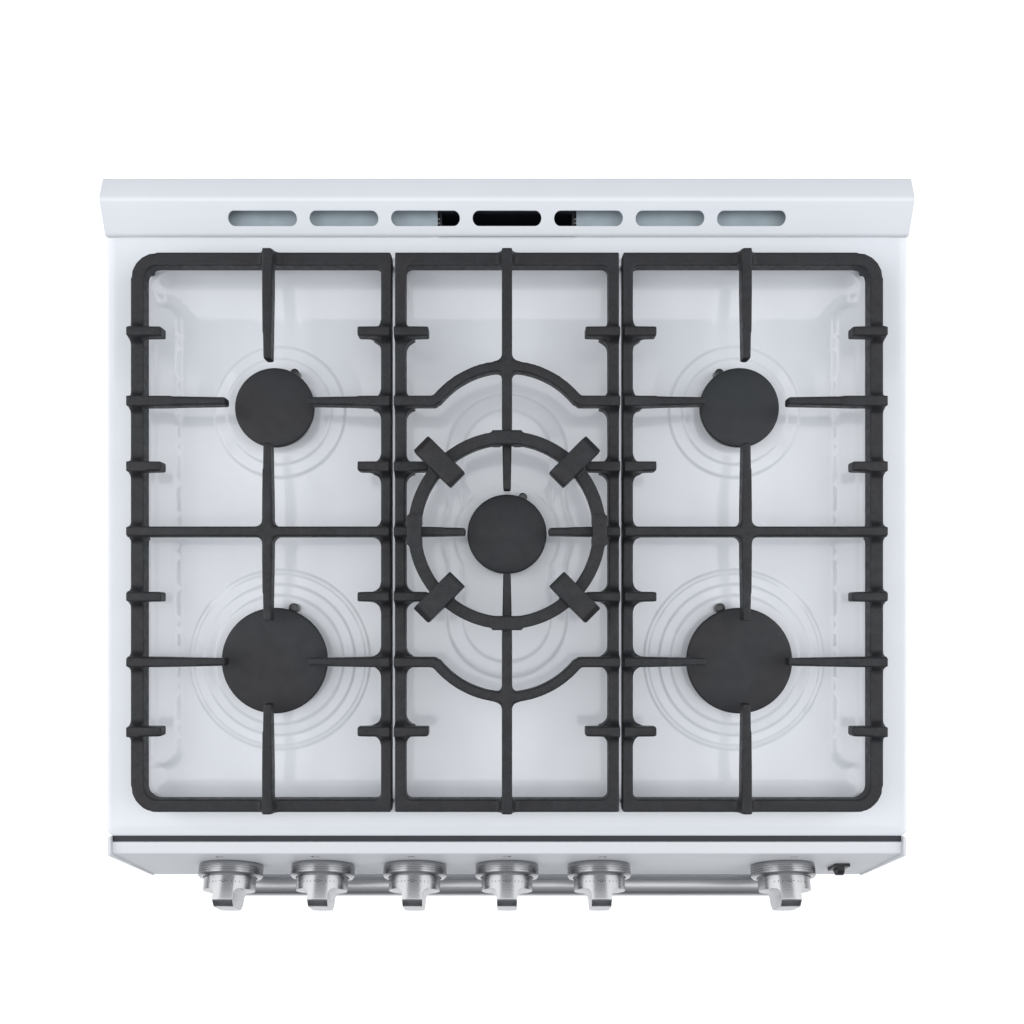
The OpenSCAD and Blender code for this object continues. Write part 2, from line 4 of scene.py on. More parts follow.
import bmesh
import bpy
from mathutils import Matrix, Vector
from mathutils.geometry import delaunay_2d_cdt
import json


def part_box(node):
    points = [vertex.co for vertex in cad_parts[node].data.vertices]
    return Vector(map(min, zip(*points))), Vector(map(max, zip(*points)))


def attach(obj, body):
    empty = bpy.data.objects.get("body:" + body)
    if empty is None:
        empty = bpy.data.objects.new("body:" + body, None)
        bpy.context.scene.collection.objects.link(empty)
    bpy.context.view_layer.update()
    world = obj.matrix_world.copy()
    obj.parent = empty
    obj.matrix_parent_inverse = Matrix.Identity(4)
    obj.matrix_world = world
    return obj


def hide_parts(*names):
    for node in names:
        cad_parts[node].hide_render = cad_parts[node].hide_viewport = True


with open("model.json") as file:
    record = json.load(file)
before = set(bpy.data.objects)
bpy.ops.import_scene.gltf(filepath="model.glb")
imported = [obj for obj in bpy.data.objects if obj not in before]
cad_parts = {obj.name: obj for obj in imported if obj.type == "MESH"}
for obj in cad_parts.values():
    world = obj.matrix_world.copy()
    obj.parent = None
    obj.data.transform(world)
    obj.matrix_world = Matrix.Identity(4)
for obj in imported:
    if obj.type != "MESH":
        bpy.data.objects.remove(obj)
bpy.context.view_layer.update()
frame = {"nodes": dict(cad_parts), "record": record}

MM = 0.001
NODES = frame["nodes"]
BODY_OF = {node: body for body, nodes in frame["record"]["behaviour"]["bodies"].items() for node in nodes}


# ---- Places read from the frame, in millimetres ----

def low(node):
    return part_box(node)[0] / MM


def high(node):
    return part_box(node)[1] / MM


def middle(node):
    return (low(node) + high(node)) / 2


RIM_Z = high("cooktop").z
MID_Y = middle("cap_middle").y
WELL_Z = RIM_Z - 17.0
CAP_BOTTOM = low("cap_middle").z + 1.0

QUARTERS = [(1, 1), (-1, 1), (-1, -1), (1, -1)]
BURNERS = ("rear_left", "rear_right", "middle", "front_left", "front_right")

# ---- Materials ----

# Socket numbers of Blender's Mix node when it mixes colours.
MIX_FACTOR, MIX_FIRST, MIX_SECOND, MIX_RESULT = 0, 6, 7, 2


def colour_ramp(nodes, links, value, stops):
    """Turns value into colours through (position, colour) stops. A colour of one number is a grey."""
    node = nodes.new("ShaderNodeValToRGB")
    steps = node.color_ramp.elements
    while len(steps) < len(stops):
        steps.new(0.5)
    for step, (at, colour) in zip(steps, stops):
        step.position = at
        step.color = (*colour, 1.0) if len(colour) == 3 else (colour[0],) * 3 + (1.0,)
    links.new(value, node.inputs["Fac"])
    return node.outputs["Color"]


class Surface:
    """A Principled material with the few node helpers that the materials below share."""

    def __init__(self, name, **sockets):
        self.material = bpy.data.materials.new(name)
        self.material.use_nodes = True
        self.nodes = self.material.node_tree.nodes
        self.links = self.material.node_tree.links
        self.shader = self.nodes["Principled BSDF"]
        for socket, value in sockets.items():
            name = socket.replace("_", " ")
            if isinstance(value, tuple) and len(value) == 3:
                value = (*value, 1.0)
            self.shader.inputs[name].default_value = value
        self.place = self.nodes.new("ShaderNodeTexCoord").outputs["Object"]

    def stretched(self, scale):
        node = self.nodes.new("ShaderNodeMapping")
        node.inputs["Scale"].default_value = scale
        self.links.new(self.place, node.inputs["Vector"])
        return node.outputs["Vector"]

    def noise(self, scale, detail=3.0, roughness=0.5, vector=None):
        node = self.nodes.new("ShaderNodeTexNoise")
        node.inputs["Scale"].default_value = scale
        node.inputs["Detail"].default_value = detail
        node.inputs["Roughness"].default_value = roughness
        self.links.new(vector or self.place, node.inputs["Vector"])
        return node.outputs["Fac"]

    def specks(self, scale):
        node = self.nodes.new("ShaderNodeTexVoronoi")
        node.inputs["Scale"].default_value = scale
        self.links.new(self.place, node.inputs["Vector"])
        return node.outputs["Distance"]

    def ramp(self, value, stops):
        return colour_ramp(self.nodes, self.links, value, stops)

    def mix(self, amount, first, second, how="MIX"):
        node = self.nodes.new("ShaderNodeMix")
        node.data_type = "RGBA"
        node.blend_type = how
        for socket, value in ((MIX_FACTOR, amount), (MIX_FIRST, first), (MIX_SECOND, second)):
            target = node.inputs[socket]
            if isinstance(value, (int, float)):
                target.default_value = value
            elif isinstance(value, tuple):
                target.default_value = (*value, 1.0)
            else:
                self.links.new(value, target)
        return node.outputs[MIX_RESULT]

    def set(self, socket, output):
        self.links.new(output, self.shader.inputs[socket])
        return self

    def bump(self, *layers):
        """Each layer is (height output, strength, distance in metres)."""
        normal = None
        for height, strength, distance in layers:
            node = self.nodes.new("ShaderNodeBump")
            node.inputs["Strength"].default_value = strength
            node.inputs["Distance"].default_value = distance
            self.links.new(height, node.inputs["Height"])
            if normal is not None:
                self.links.new(normal, node.inputs["Normal"])
            normal = node.outputs["Normal"]
        return self.set("Normal", normal)


def enamel(name, pale, shade, roughness=0.12, coat=0.5, gloss=0.5):
    """Fired enamel: glassy, with the faint waviness of a sprayed and fired coat."""
    s = Surface(name, Roughness=roughness, Coat_Weight=coat, Coat_Roughness=0.03, Specular_IOR_Level=gloss)
    s.set("Base Color", s.ramp(s.noise(9.0, 4.0), [(0.3, shade), (0.7, pale)]))
    s.set("Roughness", s.ramp(s.noise(30.0, 3.0), [(0.3, (roughness - 0.02,)), (0.7, (roughness + 0.04,))]))
    s.bump((s.noise(190.0, 2.0), 0.03, 0.0006), (s.noise(1400.0, 2.0), 0.02, 0.0001))
    return s.material


def cast(name, cool, warm, grain, roughness):
    """Cast iron under a matt coat: sand grain, slow cool and warm blotches and a few rubbed places."""
    s = Surface(name, Roughness=roughness, Specular_IOR_Level=0.35)
    blotch = s.ramp(s.noise(26.0, 5.0, 0.6), [(0.36, warm), (0.62, cool)])
    depth = s.ramp(s.noise(70.0, 4.0, 0.6), [(0.3, (0.62,)), (0.7, (1.0,))])
    rubbed = s.ramp(s.noise(17.0, 3.0), [(0.62, (0.0,)), (0.78, (0.4,))])
    colour = s.mix(1.0, blotch, depth, "MULTIPLY")
    colour = s.mix(rubbed, colour, tuple(c * 1.7 + 0.006 for c in warm))
    sparkle = s.ramp(s.noise(grain, 2.0), [(0.4, (0.0,)), (0.72, (0.5,))])
    s.set("Base Color", s.mix(sparkle, colour, tuple(c * 2.1 for c in cool)))
    s.set("Roughness", s.ramp(s.noise(160.0, 3.0), [(0.3, (roughness - 0.1,)), (0.7, (roughness + 0.1,))]))
    s.bump((s.noise(grain * 0.7, 3.0, 0.6), 0.45, 0.0003), (s.noise(180.0, 3.0), 0.25, 0.0006))
    return s.material


def brushed(name, tone, stretch, roughness=0.2, depth=0.04):
    """Brushed stainless steel: stretch is the noise scale along X, Y and Z."""
    s = Surface(name, Metallic=1.0, Roughness=roughness)
    lines = s.noise(1.0, 2.0, 0.5, s.stretched(stretch))
    s.set("Base Color", s.ramp(lines, [(0.3, tuple(c * 0.93 for c in tone)), (0.7, tone)]))
    s.set("Roughness", s.ramp(lines, [(0.3, (roughness - 0.04,)), (0.7, (roughness + 0.06,))]))
    s.bump((lines, depth, 0.00006))
    return s.material


def plain(name, colour, roughness, metallic=0.0, grain=700.0, bump=0.15, **sockets):
    """Moulded, plated or ground surfaces with a fine even grain."""
    s = Surface(name, Metallic=metallic, Roughness=roughness, **sockets)
    s.set("Base Color", s.ramp(s.noise(60.0, 4.0), [(0.3, tuple(c * 0.86 for c in colour)), (0.7, colour)]))
    uneven = [(0.3, (roughness * 0.85,)), (0.7, (min(1.0, roughness * 1.2),))]
    s.set("Roughness", s.ramp(s.noise(110.0, 3.0), uneven))
    s.bump((s.noise(grain, 3.0), bump, 0.0002))
    return s.material


def matt(name, cool, warm):
    """A matt enamelled cap: an almost even satin black with slow changes of tone."""
    s = Surface(name, Roughness=0.5, Specular_IOR_Level=0.4)
    tone = s.ramp(s.noise(5.0, 2.0), [(0.4, warm), (0.6, cool)])
    grain = s.ramp(s.noise(1300.0, 2.0), [(0.35, (0.0,)), (0.75, (0.3,))])
    s.set("Base Color", s.mix(grain, tone, tuple(c * 2.0 for c in cool)))
    s.set("Roughness", s.ramp(s.noise(90.0, 3.0), [(0.3, (0.46,)), (0.7, (0.58,))]))
    s.bump((s.noise(1100.0, 3.0), 0.2, 0.0002))
    return s.material


def speckled(name, ground, fleck):
    """Oven enamel: dark ground with pale flecks."""
    s = Surface(name, Roughness=0.22, Coat_Weight=0.4, Coat_Roughness=0.1)
    dots = s.ramp(s.specks(260.0), [(0.12, (1.0,)), (0.2, (0.0,))])
    s.set("Base Color", s.mix(dots, ground, fleck))
    s.bump((s.noise(320.0, 3.0), 0.08, 0.0004))
    return s.material


WHITE = enamel("white_enamel", (0.80, 0.825, 0.86), (0.775, 0.80, 0.84))
# The panel's enamel: its lower gloss is a real satin finish, and its slightly darker colour is painted shade
# for the panel, which faces forward and gets less light.
SHADED_SATIN = enamel("shaded_satin_enamel", (0.76, 0.775, 0.80), (0.74, 0.755, 0.785), 0.42, 0.0, 0.14)
IRON = cast("cast_iron", (0.0175, 0.0198, 0.0222), (0.0205, 0.0172, 0.0195), 900.0, 0.52)
CAP = matt("cap_enamel", (0.0165, 0.0195, 0.0225), (0.0165, 0.0150, 0.0180))
STEEL = brushed("brushed_steel", (0.60, 0.60, 0.60), (1500.0, 60.0, 60.0))
STEEL_KNOB = brushed("brushed_steel_knob", (0.37, 0.373, 0.38), (3.0, 3.0, 2200.0), 0.25, 0.012)
STEEL_BAR = brushed("brushed_steel_bar", (0.49, 0.494, 0.50), (6.0, 900.0, 900.0), 0.36)
ALLOY = plain("burner_alloy", (0.55, 0.55, 0.54), 0.42, 1.0, 900.0)
ZINC = plain("zinc_steel", (0.52, 0.54, 0.55), 0.38, 0.9, 300.0, 0.1)
BRASS = plain("brass", (0.72, 0.5, 0.2), 0.28, 1.0, 900.0)
CERAMIC = plain("ceramic", (0.014, 0.014, 0.015), 0.3, 0.0, 500.0, 0.05, Coat_Weight=0.4)
# Painted shade: a blue-grey for the cooktop strip seen through the vent slots, standing in for the shade of
# the hollow trim over it.
SLOT_SHADE = plain("painted_slot_shade", (0.40, 0.47, 0.51), 0.5, 0.0, 500.0, 0.1)
PRINT = plain("grey_print", (0.035, 0.035, 0.038), 0.5, 0.0, 900.0, 0.05)
DARK_FRAME = plain("dark_frame", (0.018, 0.021, 0.028), 0.4, 0.0, 400.0, 0.1)
OVEN = speckled("oven_enamel", (0.012, 0.014, 0.024), (0.35, 0.37, 0.42))
WOOL = plain("insulation", (0.6, 0.5, 0.25), 0.95, 0.0, 250.0, 1.0)
CHROME = plain("rack_chrome", (0.7, 0.7, 0.71), 0.12, 1.0, 400.0, 0.03)
PLASTIC = plain("black_plastic", (0.012, 0.012, 0.013), 0.42, 0.0, 1800.0, 0.2)
RUBBER = plain("rubber", (0.02, 0.02, 0.02), 0.75, 0.0, 1200.0, 0.5)


def glass(name, tint, alpha):
    s = Surface(name, Roughness=0.05, Alpha=alpha, Coat_Weight=0.5)
    s.set("Base Color", s.ramp(s.noise(4.0), [(0.3, tint), (0.7, tuple(c * 1.3 for c in tint))]))
    s.bump((s.noise(6.0), 0.02, 0.0005))
    return s.material


WINDOW = glass("window_glass", (0.006, 0.006, 0.008), 0.88)
LAMP = glass("lamp_glass", (0.8, 0.78, 0.7), 0.5)

FINISH = {
    "white_enamel": WHITE, "cast_iron": IRON, "cap_enamel": CAP, "brushed_steel": STEEL,
    "burner_alloy": ALLOY, "zinc_steel": ZINC, "brass": BRASS, "ceramic": CERAMIC,
    "dark_frame": DARK_FRAME, "oven_enamel": OVEN, "insulation": WOOL, "rack_chrome": CHROME,
    "black_plastic": PLASTIC, "rubber": RUBBER, "window_glass": WINDOW, "lamp_glass": LAMP,
}

# ---- Shape building, in millimetres ----


class Shape:
    """Gathers closed forms in one bmesh and turns them into one piece of the range."""

    def __init__(self):
        self.bm = bmesh.new()

    def ring(self, points, place=None):
        return [self.bm.verts.new((place @ Vector(p)) if place else Vector(p)) for p in points]

    def bridge(self, first, second, closed=True):
        count = len(first)
        for i in range(count if closed else count - 1):
            j = (i + 1) % count
            self.bm.faces.new((first[i], first[j], second[j], second[i]))

    def loft(self, loops, caps=(True, True), place=None):
        rings = [self.ring(loop, place) for loop in loops]
        for first, second in zip(rings, rings[1:]):
            self.bridge(first, second)
        if caps[0]:
            self.bm.faces.new(list(reversed(rings[0])))
        if caps[1]:
            self.bm.faces.new(rings[-1])
        return rings

    def lathe(self, profile, segments=96, place=None, closed=False):
        """Turns (radius, height) points about local Z. A radius of 0 closes the end."""
        rings = []
        for radius, height in profile:
            if radius < 1e-6:
                rings.append(self.ring([(0.0, 0.0, height)], place))
            else:
                rings.append(self.ring(circle(0.0, 0.0, radius, height, segments), place))
        pairs = list(zip(rings, rings[1:])) + ([(rings[-1], rings[0])] if closed else [])
        for first, second in pairs:
            if len(first) == 1:
                for i in range(segments):
                    self.bm.faces.new((first[0], second[(i + 1) % segments], second[i]))
            elif len(second) == 1:
                for i in range(segments):
                    self.bm.faces.new((first[i], first[(i + 1) % segments], second[0]))
            else:
                self.bridge(first, second)

    def box(self, lo, hi, place=None):
        x0, y0, z0 = lo
        x1, y1, z1 = hi
        base = [(x0, y0), (x1, y0), (x1, y1), (x0, y1)]
        self.loft([[(x, y, z0) for x, y in base], [(x, y, z1) for x, y in base]], place=place)

    def fill(self, outer, holes, z, extra=()):
        """A face, facing up, between an outer outline and the holes in it, through any extra points."""
        points, edges = [], []
        for outline in [outer] + holes:
            start = len(points)
            points += [Vector((p[0], p[1])) for p in outline]
            edges += [(start + i, start + (i + 1) % len(outline)) for i in range(len(outline))]
        points += [Vector(p) for p in extra if inside(Vector(p), outer)]
        spots, _, faces, *_ = delaunay_2d_cdt(points, edges, [], 0, 0.25)
        made = [self.bm.verts.new((p.x, p.y, z)) for p in spots]
        for face in faces:
            centre = sum((spots[i] for i in face), Vector((0.0, 0.0))) / len(face)
            if inside(centre, outer) and not any(inside(centre, hole) for hole in holes):
                self.bm.faces.new([made[i] for i in face])
        for vert in [v for v in made if not v.link_faces]:
            self.bm.verts.remove(vert)

    def object(self, name, material, smooth=32.0, weld=0.01):
        bmesh.ops.remove_doubles(self.bm, verts=self.bm.verts, dist=weld)
        bmesh.ops.recalc_face_normals(self.bm, faces=self.bm.faces)
        self.bm.transform(Matrix.Scale(MM, 4))
        mesh = bpy.data.meshes.new(name)
        self.bm.to_mesh(mesh)
        self.bm.free()
        mesh.materials.append(material)
        obj = bpy.data.objects.new(name, mesh)
        bpy.context.scene.collection.objects.link(obj)
        shade(obj, smooth)
        return obj


def inside(point, outline):
    hit = False
    for (ax, ay), (bx, by) in zip([p[:2] for p in outline], [p[:2] for p in outline[1:] + outline[:1]]):
        if (ay > point.y) != (by > point.y) and point.x < (bx - ax) * (point.y - ay) / (by - ay) + ax:
            hit = not hit
    return hit


def shade(obj, degrees):
    obj.data.shade_smooth()
    if degrees < 180.0:
        obj.data.set_sharp_from_angle(angle=math.radians(degrees))


def stands_for(obj, *nodes):
    """The piece rides on the body of the nodes that it replaces."""
    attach(obj, BODY_OF[nodes[0]])
    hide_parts(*nodes)
    return obj


def apply_modifiers(obj):
    graph = bpy.context.evaluated_depsgraph_get()
    mesh = bpy.data.meshes.new_from_object(obj.evaluated_get(graph))
    old = obj.data
    obj.modifiers.clear()
    obj.data = mesh
    bpy.data.meshes.remove(old)


def cut(obj, tool):
    """Takes the tool's shape out of obj."""
    boolean = obj.modifiers.new("cut", "BOOLEAN")
    boolean.operation = "DIFFERENCE"
    boolean.object = tool
    boolean.solver = "EXACT"
    apply_modifiers(obj)
    bpy.data.objects.remove(tool)


def rounded(cx, cy, half_x, half_y, radius, z, steps=10):
    """The outline of a rectangle with round corners, from the corner at +X +Y."""
    points = []
    for quarter, (sx, sy) in enumerate(QUARTERS):
        for i in range(steps + 1):
            turn = math.pi / 2 * (quarter + i / steps)
            points.append((cx + sx * (half_x - radius) + radius * math.cos(turn),
                           cy + sy * (half_y - radius) + radius * math.sin(turn), z))
    return points


def circle(cx, cy, radius, z, steps=96):
    turn = [2 * math.pi * i / steps for i in range(steps)]
    return [(cx + radius * math.cos(a), cy + radius * math.sin(a), z) for a in turn]


def eased(corners, radius, steps=5):
    """A profile through corner points, with each inner corner rounded off over the given length."""
    path = [Vector(corners[0])]
    for before, at, after in zip(corners, corners[1:], corners[2:]):
        a, b, c = Vector(before), Vector(at), Vector(after)
        reach_in = min(radius, (a - b).length * 0.49)
        reach_out = min(radius, (c - b).length * 0.49)
        start = b + (a - b).normalized() * reach_in
        end = b + (c - b).normalized() * reach_out
        for i in range(steps + 1):
            t = i / steps
            path.append(start * (1 - t) ** 2 + b * 2 * t * (1 - t) + end * t * t)
    path.append(Vector(corners[-1]))
    return [tuple(p) for p in path]


def chamfered(obj, width, segments=3, angle=40.0):
    edge = obj.modifiers.new("edge", "BEVEL")
    edge.width = width * MM
    edge.segments = segments
    edge.limit_method = "ANGLE"
    edge.angle_limit = math.radians(angle)


# ---- Cooktop ----

WELL_HALF_X, WELL_HALF_Y, WELL_CORNER = 351.0, 263.0, 32.0
LEDGE_X, LEDGE_Y, LEDGE_CORNER = 318.0, 219.0, 13.0
LEDGE_CENTRE = 420.0
RIM_MARGIN = 12.0
FLUE_HALF_X, FLUE_NEAR, FLUE_FAR = 66, 286, 310
# Where the painted shade under the vent trim starts (mm behind the middle burner) and its half width (m).
SHADE_FROM_Y, SHADE_HALF_X = 284.0, 0.36
GRID_STEP = 13.0
FAR = (900, 0)


class Profile:
    """Heights along a distance, through corner points whose bends are rounded off."""

    def __init__(self, corners, radius, steps=4):
        path = eased(corners, radius, steps)
        self.at = [p[0] for p in path]
        self.height = [p[1] for p in path]

    def __call__(self, x):
        i = bisect(self.at, x)
        if i == 0 or i == len(self.at):
            return self.height[min(i, len(self.at) - 1)]
        share = (x - self.at[i - 1]) / (self.at[i] - self.at[i - 1])
        return self.height[i - 1] + (self.height[i] - self.height[i - 1]) * share

    def bends(self):
        return self.at[1:-1]


# A seat for the grate feet runs all round just inside the rim, then the wall sweeps down to the floor.
WALL = Profile([(-20, 0), (0, 0), (2.5, -2), (12.5, -2.4), (24, -12), (50, -17), (400, -17)], 5.0, 6)
LEDGE_SIDE = Profile([(-60, 0), (0, 0), (4.5, -4.6), (24, -17), (400, -17)], 2.2, 8)
LARGE_STEPS = Profile([(0, 6.5), (60.5, 6.5), (63.5, 4.4), (71.5, 3.9), (74, 2.2), (82, 1.9),
                       (83.5, 1.2), (86, 1.0), (88, 0), FAR], 1.1)
SMALL_STEPS = Profile([(0, 6), (49.5, 6), (52, 4.1), (61.5, 3.2), (64.5, 1.1), (82, 0), FAR], 1.2)
STADIUM_STEPS = Profile([(-60, 5), (-18, 5), (-15.5, 3.4), (-2.5, 2.4), (0, 0), FAR], 1.4)
CENTRE_STEPS = Profile([(0, 5), (49, 5), (51.5, 3.4), (62, 2.4), (65, 0), FAR], 1.4)
STADIUM_R, STADIUM_STRAIGHT = 59.0, 79.0


def box_distance(x, y, half_x, half_y, corner):
    """How far a point lies outside a rectangle with round corners, negative within."""
    dx, dy = abs(x) - half_x + corner, abs(y) - half_y + corner
    return math.hypot(max(dx, 0.0), max(dy, 0.0)) + min(max(dx, dy), 0.0) - corner


def soft_max(a, b, blend):
    gap = max(blend - abs(a - b), 0.0) / blend
    return max(a, b) + gap * gap * blend / 4


def burner_steps():
    for spot in ("rear_left", "rear_right", "front_left", "front_right"):
        at = middle("cap_" + spot)
        large = high("cap_" + spot).x - at.x > 45
        yield at.x, at.y - MID_Y, LARGE_STEPS if large else SMALL_STEPS


def pressing(burners, x, y):
    """Height of the pressed sheet against the rim, at x and at y from the middle burner."""
    depth = WALL(-box_distance(x, y, WELL_HALF_X, WELL_HALF_Y, WELL_CORNER))
    nose = box_distance(abs(x) - LEDGE_CENTRE, y, LEDGE_CENTRE - LEDGE_X, LEDGE_Y, LEDGE_CORNER)
    if depth < -2.2 and nose < 40:
        ledge = LEDGE_SIDE(nose) - 2.6 - 0.2 * (WELL_HALF_X - abs(x))
        depth = soft_max(depth, ledge, 2.5)
    for bx, by, steps in burners:
        depth += steps(math.hypot(x - bx, y - by))
    stadium = box_distance(x, y, STADIUM_R, STADIUM_R + STADIUM_STRAIGHT, STADIUM_R - 0.1)
    return depth + soft_max(STADIUM_STEPS(stadium), CENTRE_STEPS(math.hypot(x, y)), 0.5)


def sheet_normal(burners, x, y, reach=0.2):
    """The direction that the pressed sheet faces, from its slope."""
    slope_x = pressing(burners, x + reach, y) - pressing(burners, x - reach, y)
    slope_y = pressing(burners, x, y + reach) - pressing(burners, x, y - reach)
    return Vector((-slope_x, -slope_y, 2 * reach)).normalized()


def sample_spots(burners):
    """Where the pressing is sampled: closely along each bend, widely on the flats."""
    spots = []
    for offset in [-6, -2] + WALL.bends()[3:-3] + [30, 37, 44]:
        corner = max(WELL_CORNER - offset, 3.0)
        spots += outline(WELL_HALF_X - offset, WELL_HALF_Y - offset, corner, 14.0)
    for offset in (-6, -3, -1.5, -0.5, 0.4, 1.2, 2, 3, 4, 5.5, 7.5, 10, 13, 17, 21, 25, 30):
        nose = outline(LEDGE_CENTRE - LEDGE_X + offset, LEDGE_Y + offset, LEDGE_CORNER + offset, 10.0)
        for centre in (-LEDGE_CENTRE, LEDGE_CENTRE):
            spots += [(x + centre, y) for x, y in nose if abs(x + centre) < WELL_HALF_X - 6]
    for bx, by, steps in burners:
        for radius in steps.bends():
            spots += [(bx + p[0], by + p[1]) for p in circle(0, 0, radius, 0, 144)]
    for distance in STADIUM_STEPS.bends():
        radius = STADIUM_R + distance
        spots += outline(radius, radius + STADIUM_STRAIGHT, radius - 0.1, 8.0)
    for radius in CENTRE_STEPS.bends():
        spots += [p[:2] for p in circle(0, 0, radius, 0, 96)]
    spots += [(x * GRID_STEP, y * GRID_STEP) for x in range(-21, 22) for y in range(-16, 17)]
    spots += [(x * GRID_STEP, y) for x in range(-28, 29) for y in (275.0, 283.5, 284.5, 300.0)]
    return spots


def outline(half_x, half_y, corner, step):
    """Points round a rectangle with round corners, about step apart on the straights."""
    points = []
    for turn, (sx, sy) in enumerate(QUARTERS):
        arc = max(3, int(corner * 1.57 / 2.2))
        for i in range(arc + 1):
            a = math.pi / 2 * (turn + i / arc)
            points.append((sx * (half_x - corner) + corner * math.cos(a),
                           sy * (half_y - corner) + corner * math.sin(a)))
        ax, ay = points[-1]
        nx, ny = QUARTERS[(turn + 1) % 4]
        bx = nx * (half_x - corner) + (0 if turn % 2 == 0 else nx * corner)
        by = ny * (half_y - corner) + (ny * corner if turn % 2 == 0 else 0)
        count = int(math.hypot(bx - ax, by - ay) / step)
        points += [(ax + (bx - ax) * i / count, ay + (by - ay) * i / count) for i in range(1, count)]
    return points


def cooktop():
    """One pressed and enamelled sheet: skirt, rim, sunken well, side ledges and burner steps."""
    lo, hi = low("cooktop"), high("cooktop")
    half_x, mid, half_y = hi.x, (lo.y + hi.y) / 2, (hi.y - lo.y) / 2
    burners = list(burner_steps())
    shape = Shape()
    skirt = eased([(0.0, lo.z), (0.0, RIM_Z), (RIM_MARGIN, RIM_Z)], 3.0)
    loops = [rounded(0, mid, half_x - d, half_y - d, max(7.0 - d, 0.5), z) for d, z in skirt]
    shape.loft(loops, (False, False))
    rim = rounded(0, mid, half_x - RIM_MARGIN, half_y - RIM_MARGIN, 0.5, RIM_Z)
    near, far = MID_Y + FLUE_NEAR, MID_Y + FLUE_FAR
    holes = [[(FLUE_HALF_X, near, RIM_Z), (FLUE_HALF_X, far, RIM_Z),
              (-FLUE_HALF_X, far, RIM_Z), (-FLUE_HALF_X, near, RIM_Z)]]
    for cap in BURNERS:
        at = middle("cap_" + cap)
        holes.append(circle(at.x, at.y, high("cap_" + cap).x - at.x - 13.0, RIM_Z, 48))
    spots = [(x, y + MID_Y) for x, y in sample_spots(burners)]
    shape.fill(rim, holes, RIM_Z, spots)
    for vert in shape.bm.verts:
        if abs(vert.co.z - RIM_Z) < 1e-4 and abs(vert.co.x) < half_x - RIM_MARGIN - 0.5:
            vert.co.z = RIM_Z + pressing(burners, vert.co.x, vert.co.y - MID_Y)
    obj = shape.object("cooktop_pressing", WHITE, 180.0)
    shade_behind_trim(obj.data)
    face_along_slope(obj.data, burners)
    stands_for(obj, "cooktop")


def shade_behind_trim(mesh):
    """The strip that shows through the vent slots is painted a darker blue-grey: painted shade for the
    hollow trim over it.
    """
    mesh.materials.append(SLOT_SHADE)
    behind = [v.co.y > (MID_Y + SHADE_FROM_Y) * MM and v.co.z > (RIM_Z - 0.1) * MM for v in mesh.vertices]
    for face in mesh.polygons:
        shaded = all(behind[i] for i in face.vertices) and abs(face.center.x) < SHADE_HALF_X
        face.material_index = 1 if shaded else 0


def face_along_slope(mesh, burners):
    """Normals from the pressing's own slope, so that the triangles don't show."""
    normals = [v.normal.copy() for v in mesh.vertices]
    for vert in mesh.vertices:
        x, y = vert.co.x / MM, vert.co.y / MM - MID_Y
        if box_distance(x, y, WELL_HALF_X, WELL_HALF_Y, WELL_CORNER) < 2.0:
            normals[vert.index] = sheet_normal(burners, x, y)
    mesh.normals_split_custom_set_from_vertices(normals)


# ---- Rear vent trim ----


def backguard():
    """The folded vent trim, with its seven slots and the flue's notch under the front lip."""
    shape = Shape()
    lo, hi = low("backguard"), high("backguard")
    crease_y, wall = hi.y - 23.0, 1.2
    outer = [(lo.y, lo.z), (lo.y, lo.z + 4), (crease_y, hi.z), (hi.y, hi.z - 10), (hi.y, lo.z)]
    outside = eased(outer, 3.0, 5)
    inner = [(lo.y + wall, lo.z), (lo.y + wall, lo.z + 4 - wall * 0.6), (crease_y, hi.z - wall * 1.1),
             (hi.y - wall, hi.z - 10 - wall * 0.6), (hi.y - wall, lo.z)]
    section = outside + list(reversed(eased(inner, 2.4, 5)))
    span_x = hi.x - wall
    shape.loft([[(x, y, z) for y, z in section] for x in (-span_x, span_x)])
    for x0, x1 in ((-hi.x, -span_x), (span_x, hi.x)):
        shape.loft([[(x, y, z) for y, z in outside] for x in (x0, x1)])
    obj = shape.object("vent_trim", WHITE, 28.0)
    cut(obj, vent_slots(lo))
    chamfered(obj, 0.35, 2, 50.0)
    shade(obj, 35.0)
    stands_for(obj, "backguard")


def vent_slots(lo):
    slots = Shape()
    slot_y, half_x, half_y, pitch = MID_Y + 297.0, 32.35, 6.15, 76.7
    for i in range(-3, 4):
        loops = [rounded(i * pitch, slot_y, half_x, half_y, half_y - 0.05, RIM_Z + z) for z in (4.5, 30)]
        slots.loft(loops)
    slots.box((-64, lo.y - 2, lo.z - 1), (64, lo.y + 3, lo.z + 2.6))
    return slots.object("slots", WHITE)


# ---- Cast grates ----

FRAME_LOW, FRAME_HIGH, FINGER_LOW, FINGER_HIGH = 12.0, 28.0, 24.0, 40.0
GRATE_Y = 259.0
TIP_R = 38.0
FOOT_SPOTS = [(338.0, 249.0), (111.0, 253.0), (99.7, 253.0)]
BURNER_DX, BURNER_DY = 219.5, 119.5
FINGER_HALF, TIP_HALF = 4.75, 3.5
BAR_OUTER, BAR_INNER = 12.0, 10.0
SHORT_NEAR, SHORT_FAR, SHORT_TIP_HALF = 59.6, 183.3, 4.4
SIDE_OUTER, SIDE_INNER, SIDE_CORNER = 348.0, 106.9, 24.0
SEAM = 0.9


def bar_box(shape, x0, x1, y0, y1, z0=FRAME_LOW, z1=FRAME_HIGH):
    shape.box((min(x0, x1), MID_Y + min(y0, y1), RIM_Z + z0), (max(x0, x1), MID_Y + max(y0, y1), RIM_Z + z1))


def prism(shape, outline, z_low, z_high):
    """An upright form over an outline about the middle burner, between two heights over the rim."""
    shape.loft([[(x, MID_Y + y, RIM_Z + z) for x, y in outline] for z in (z_low, z_high)])


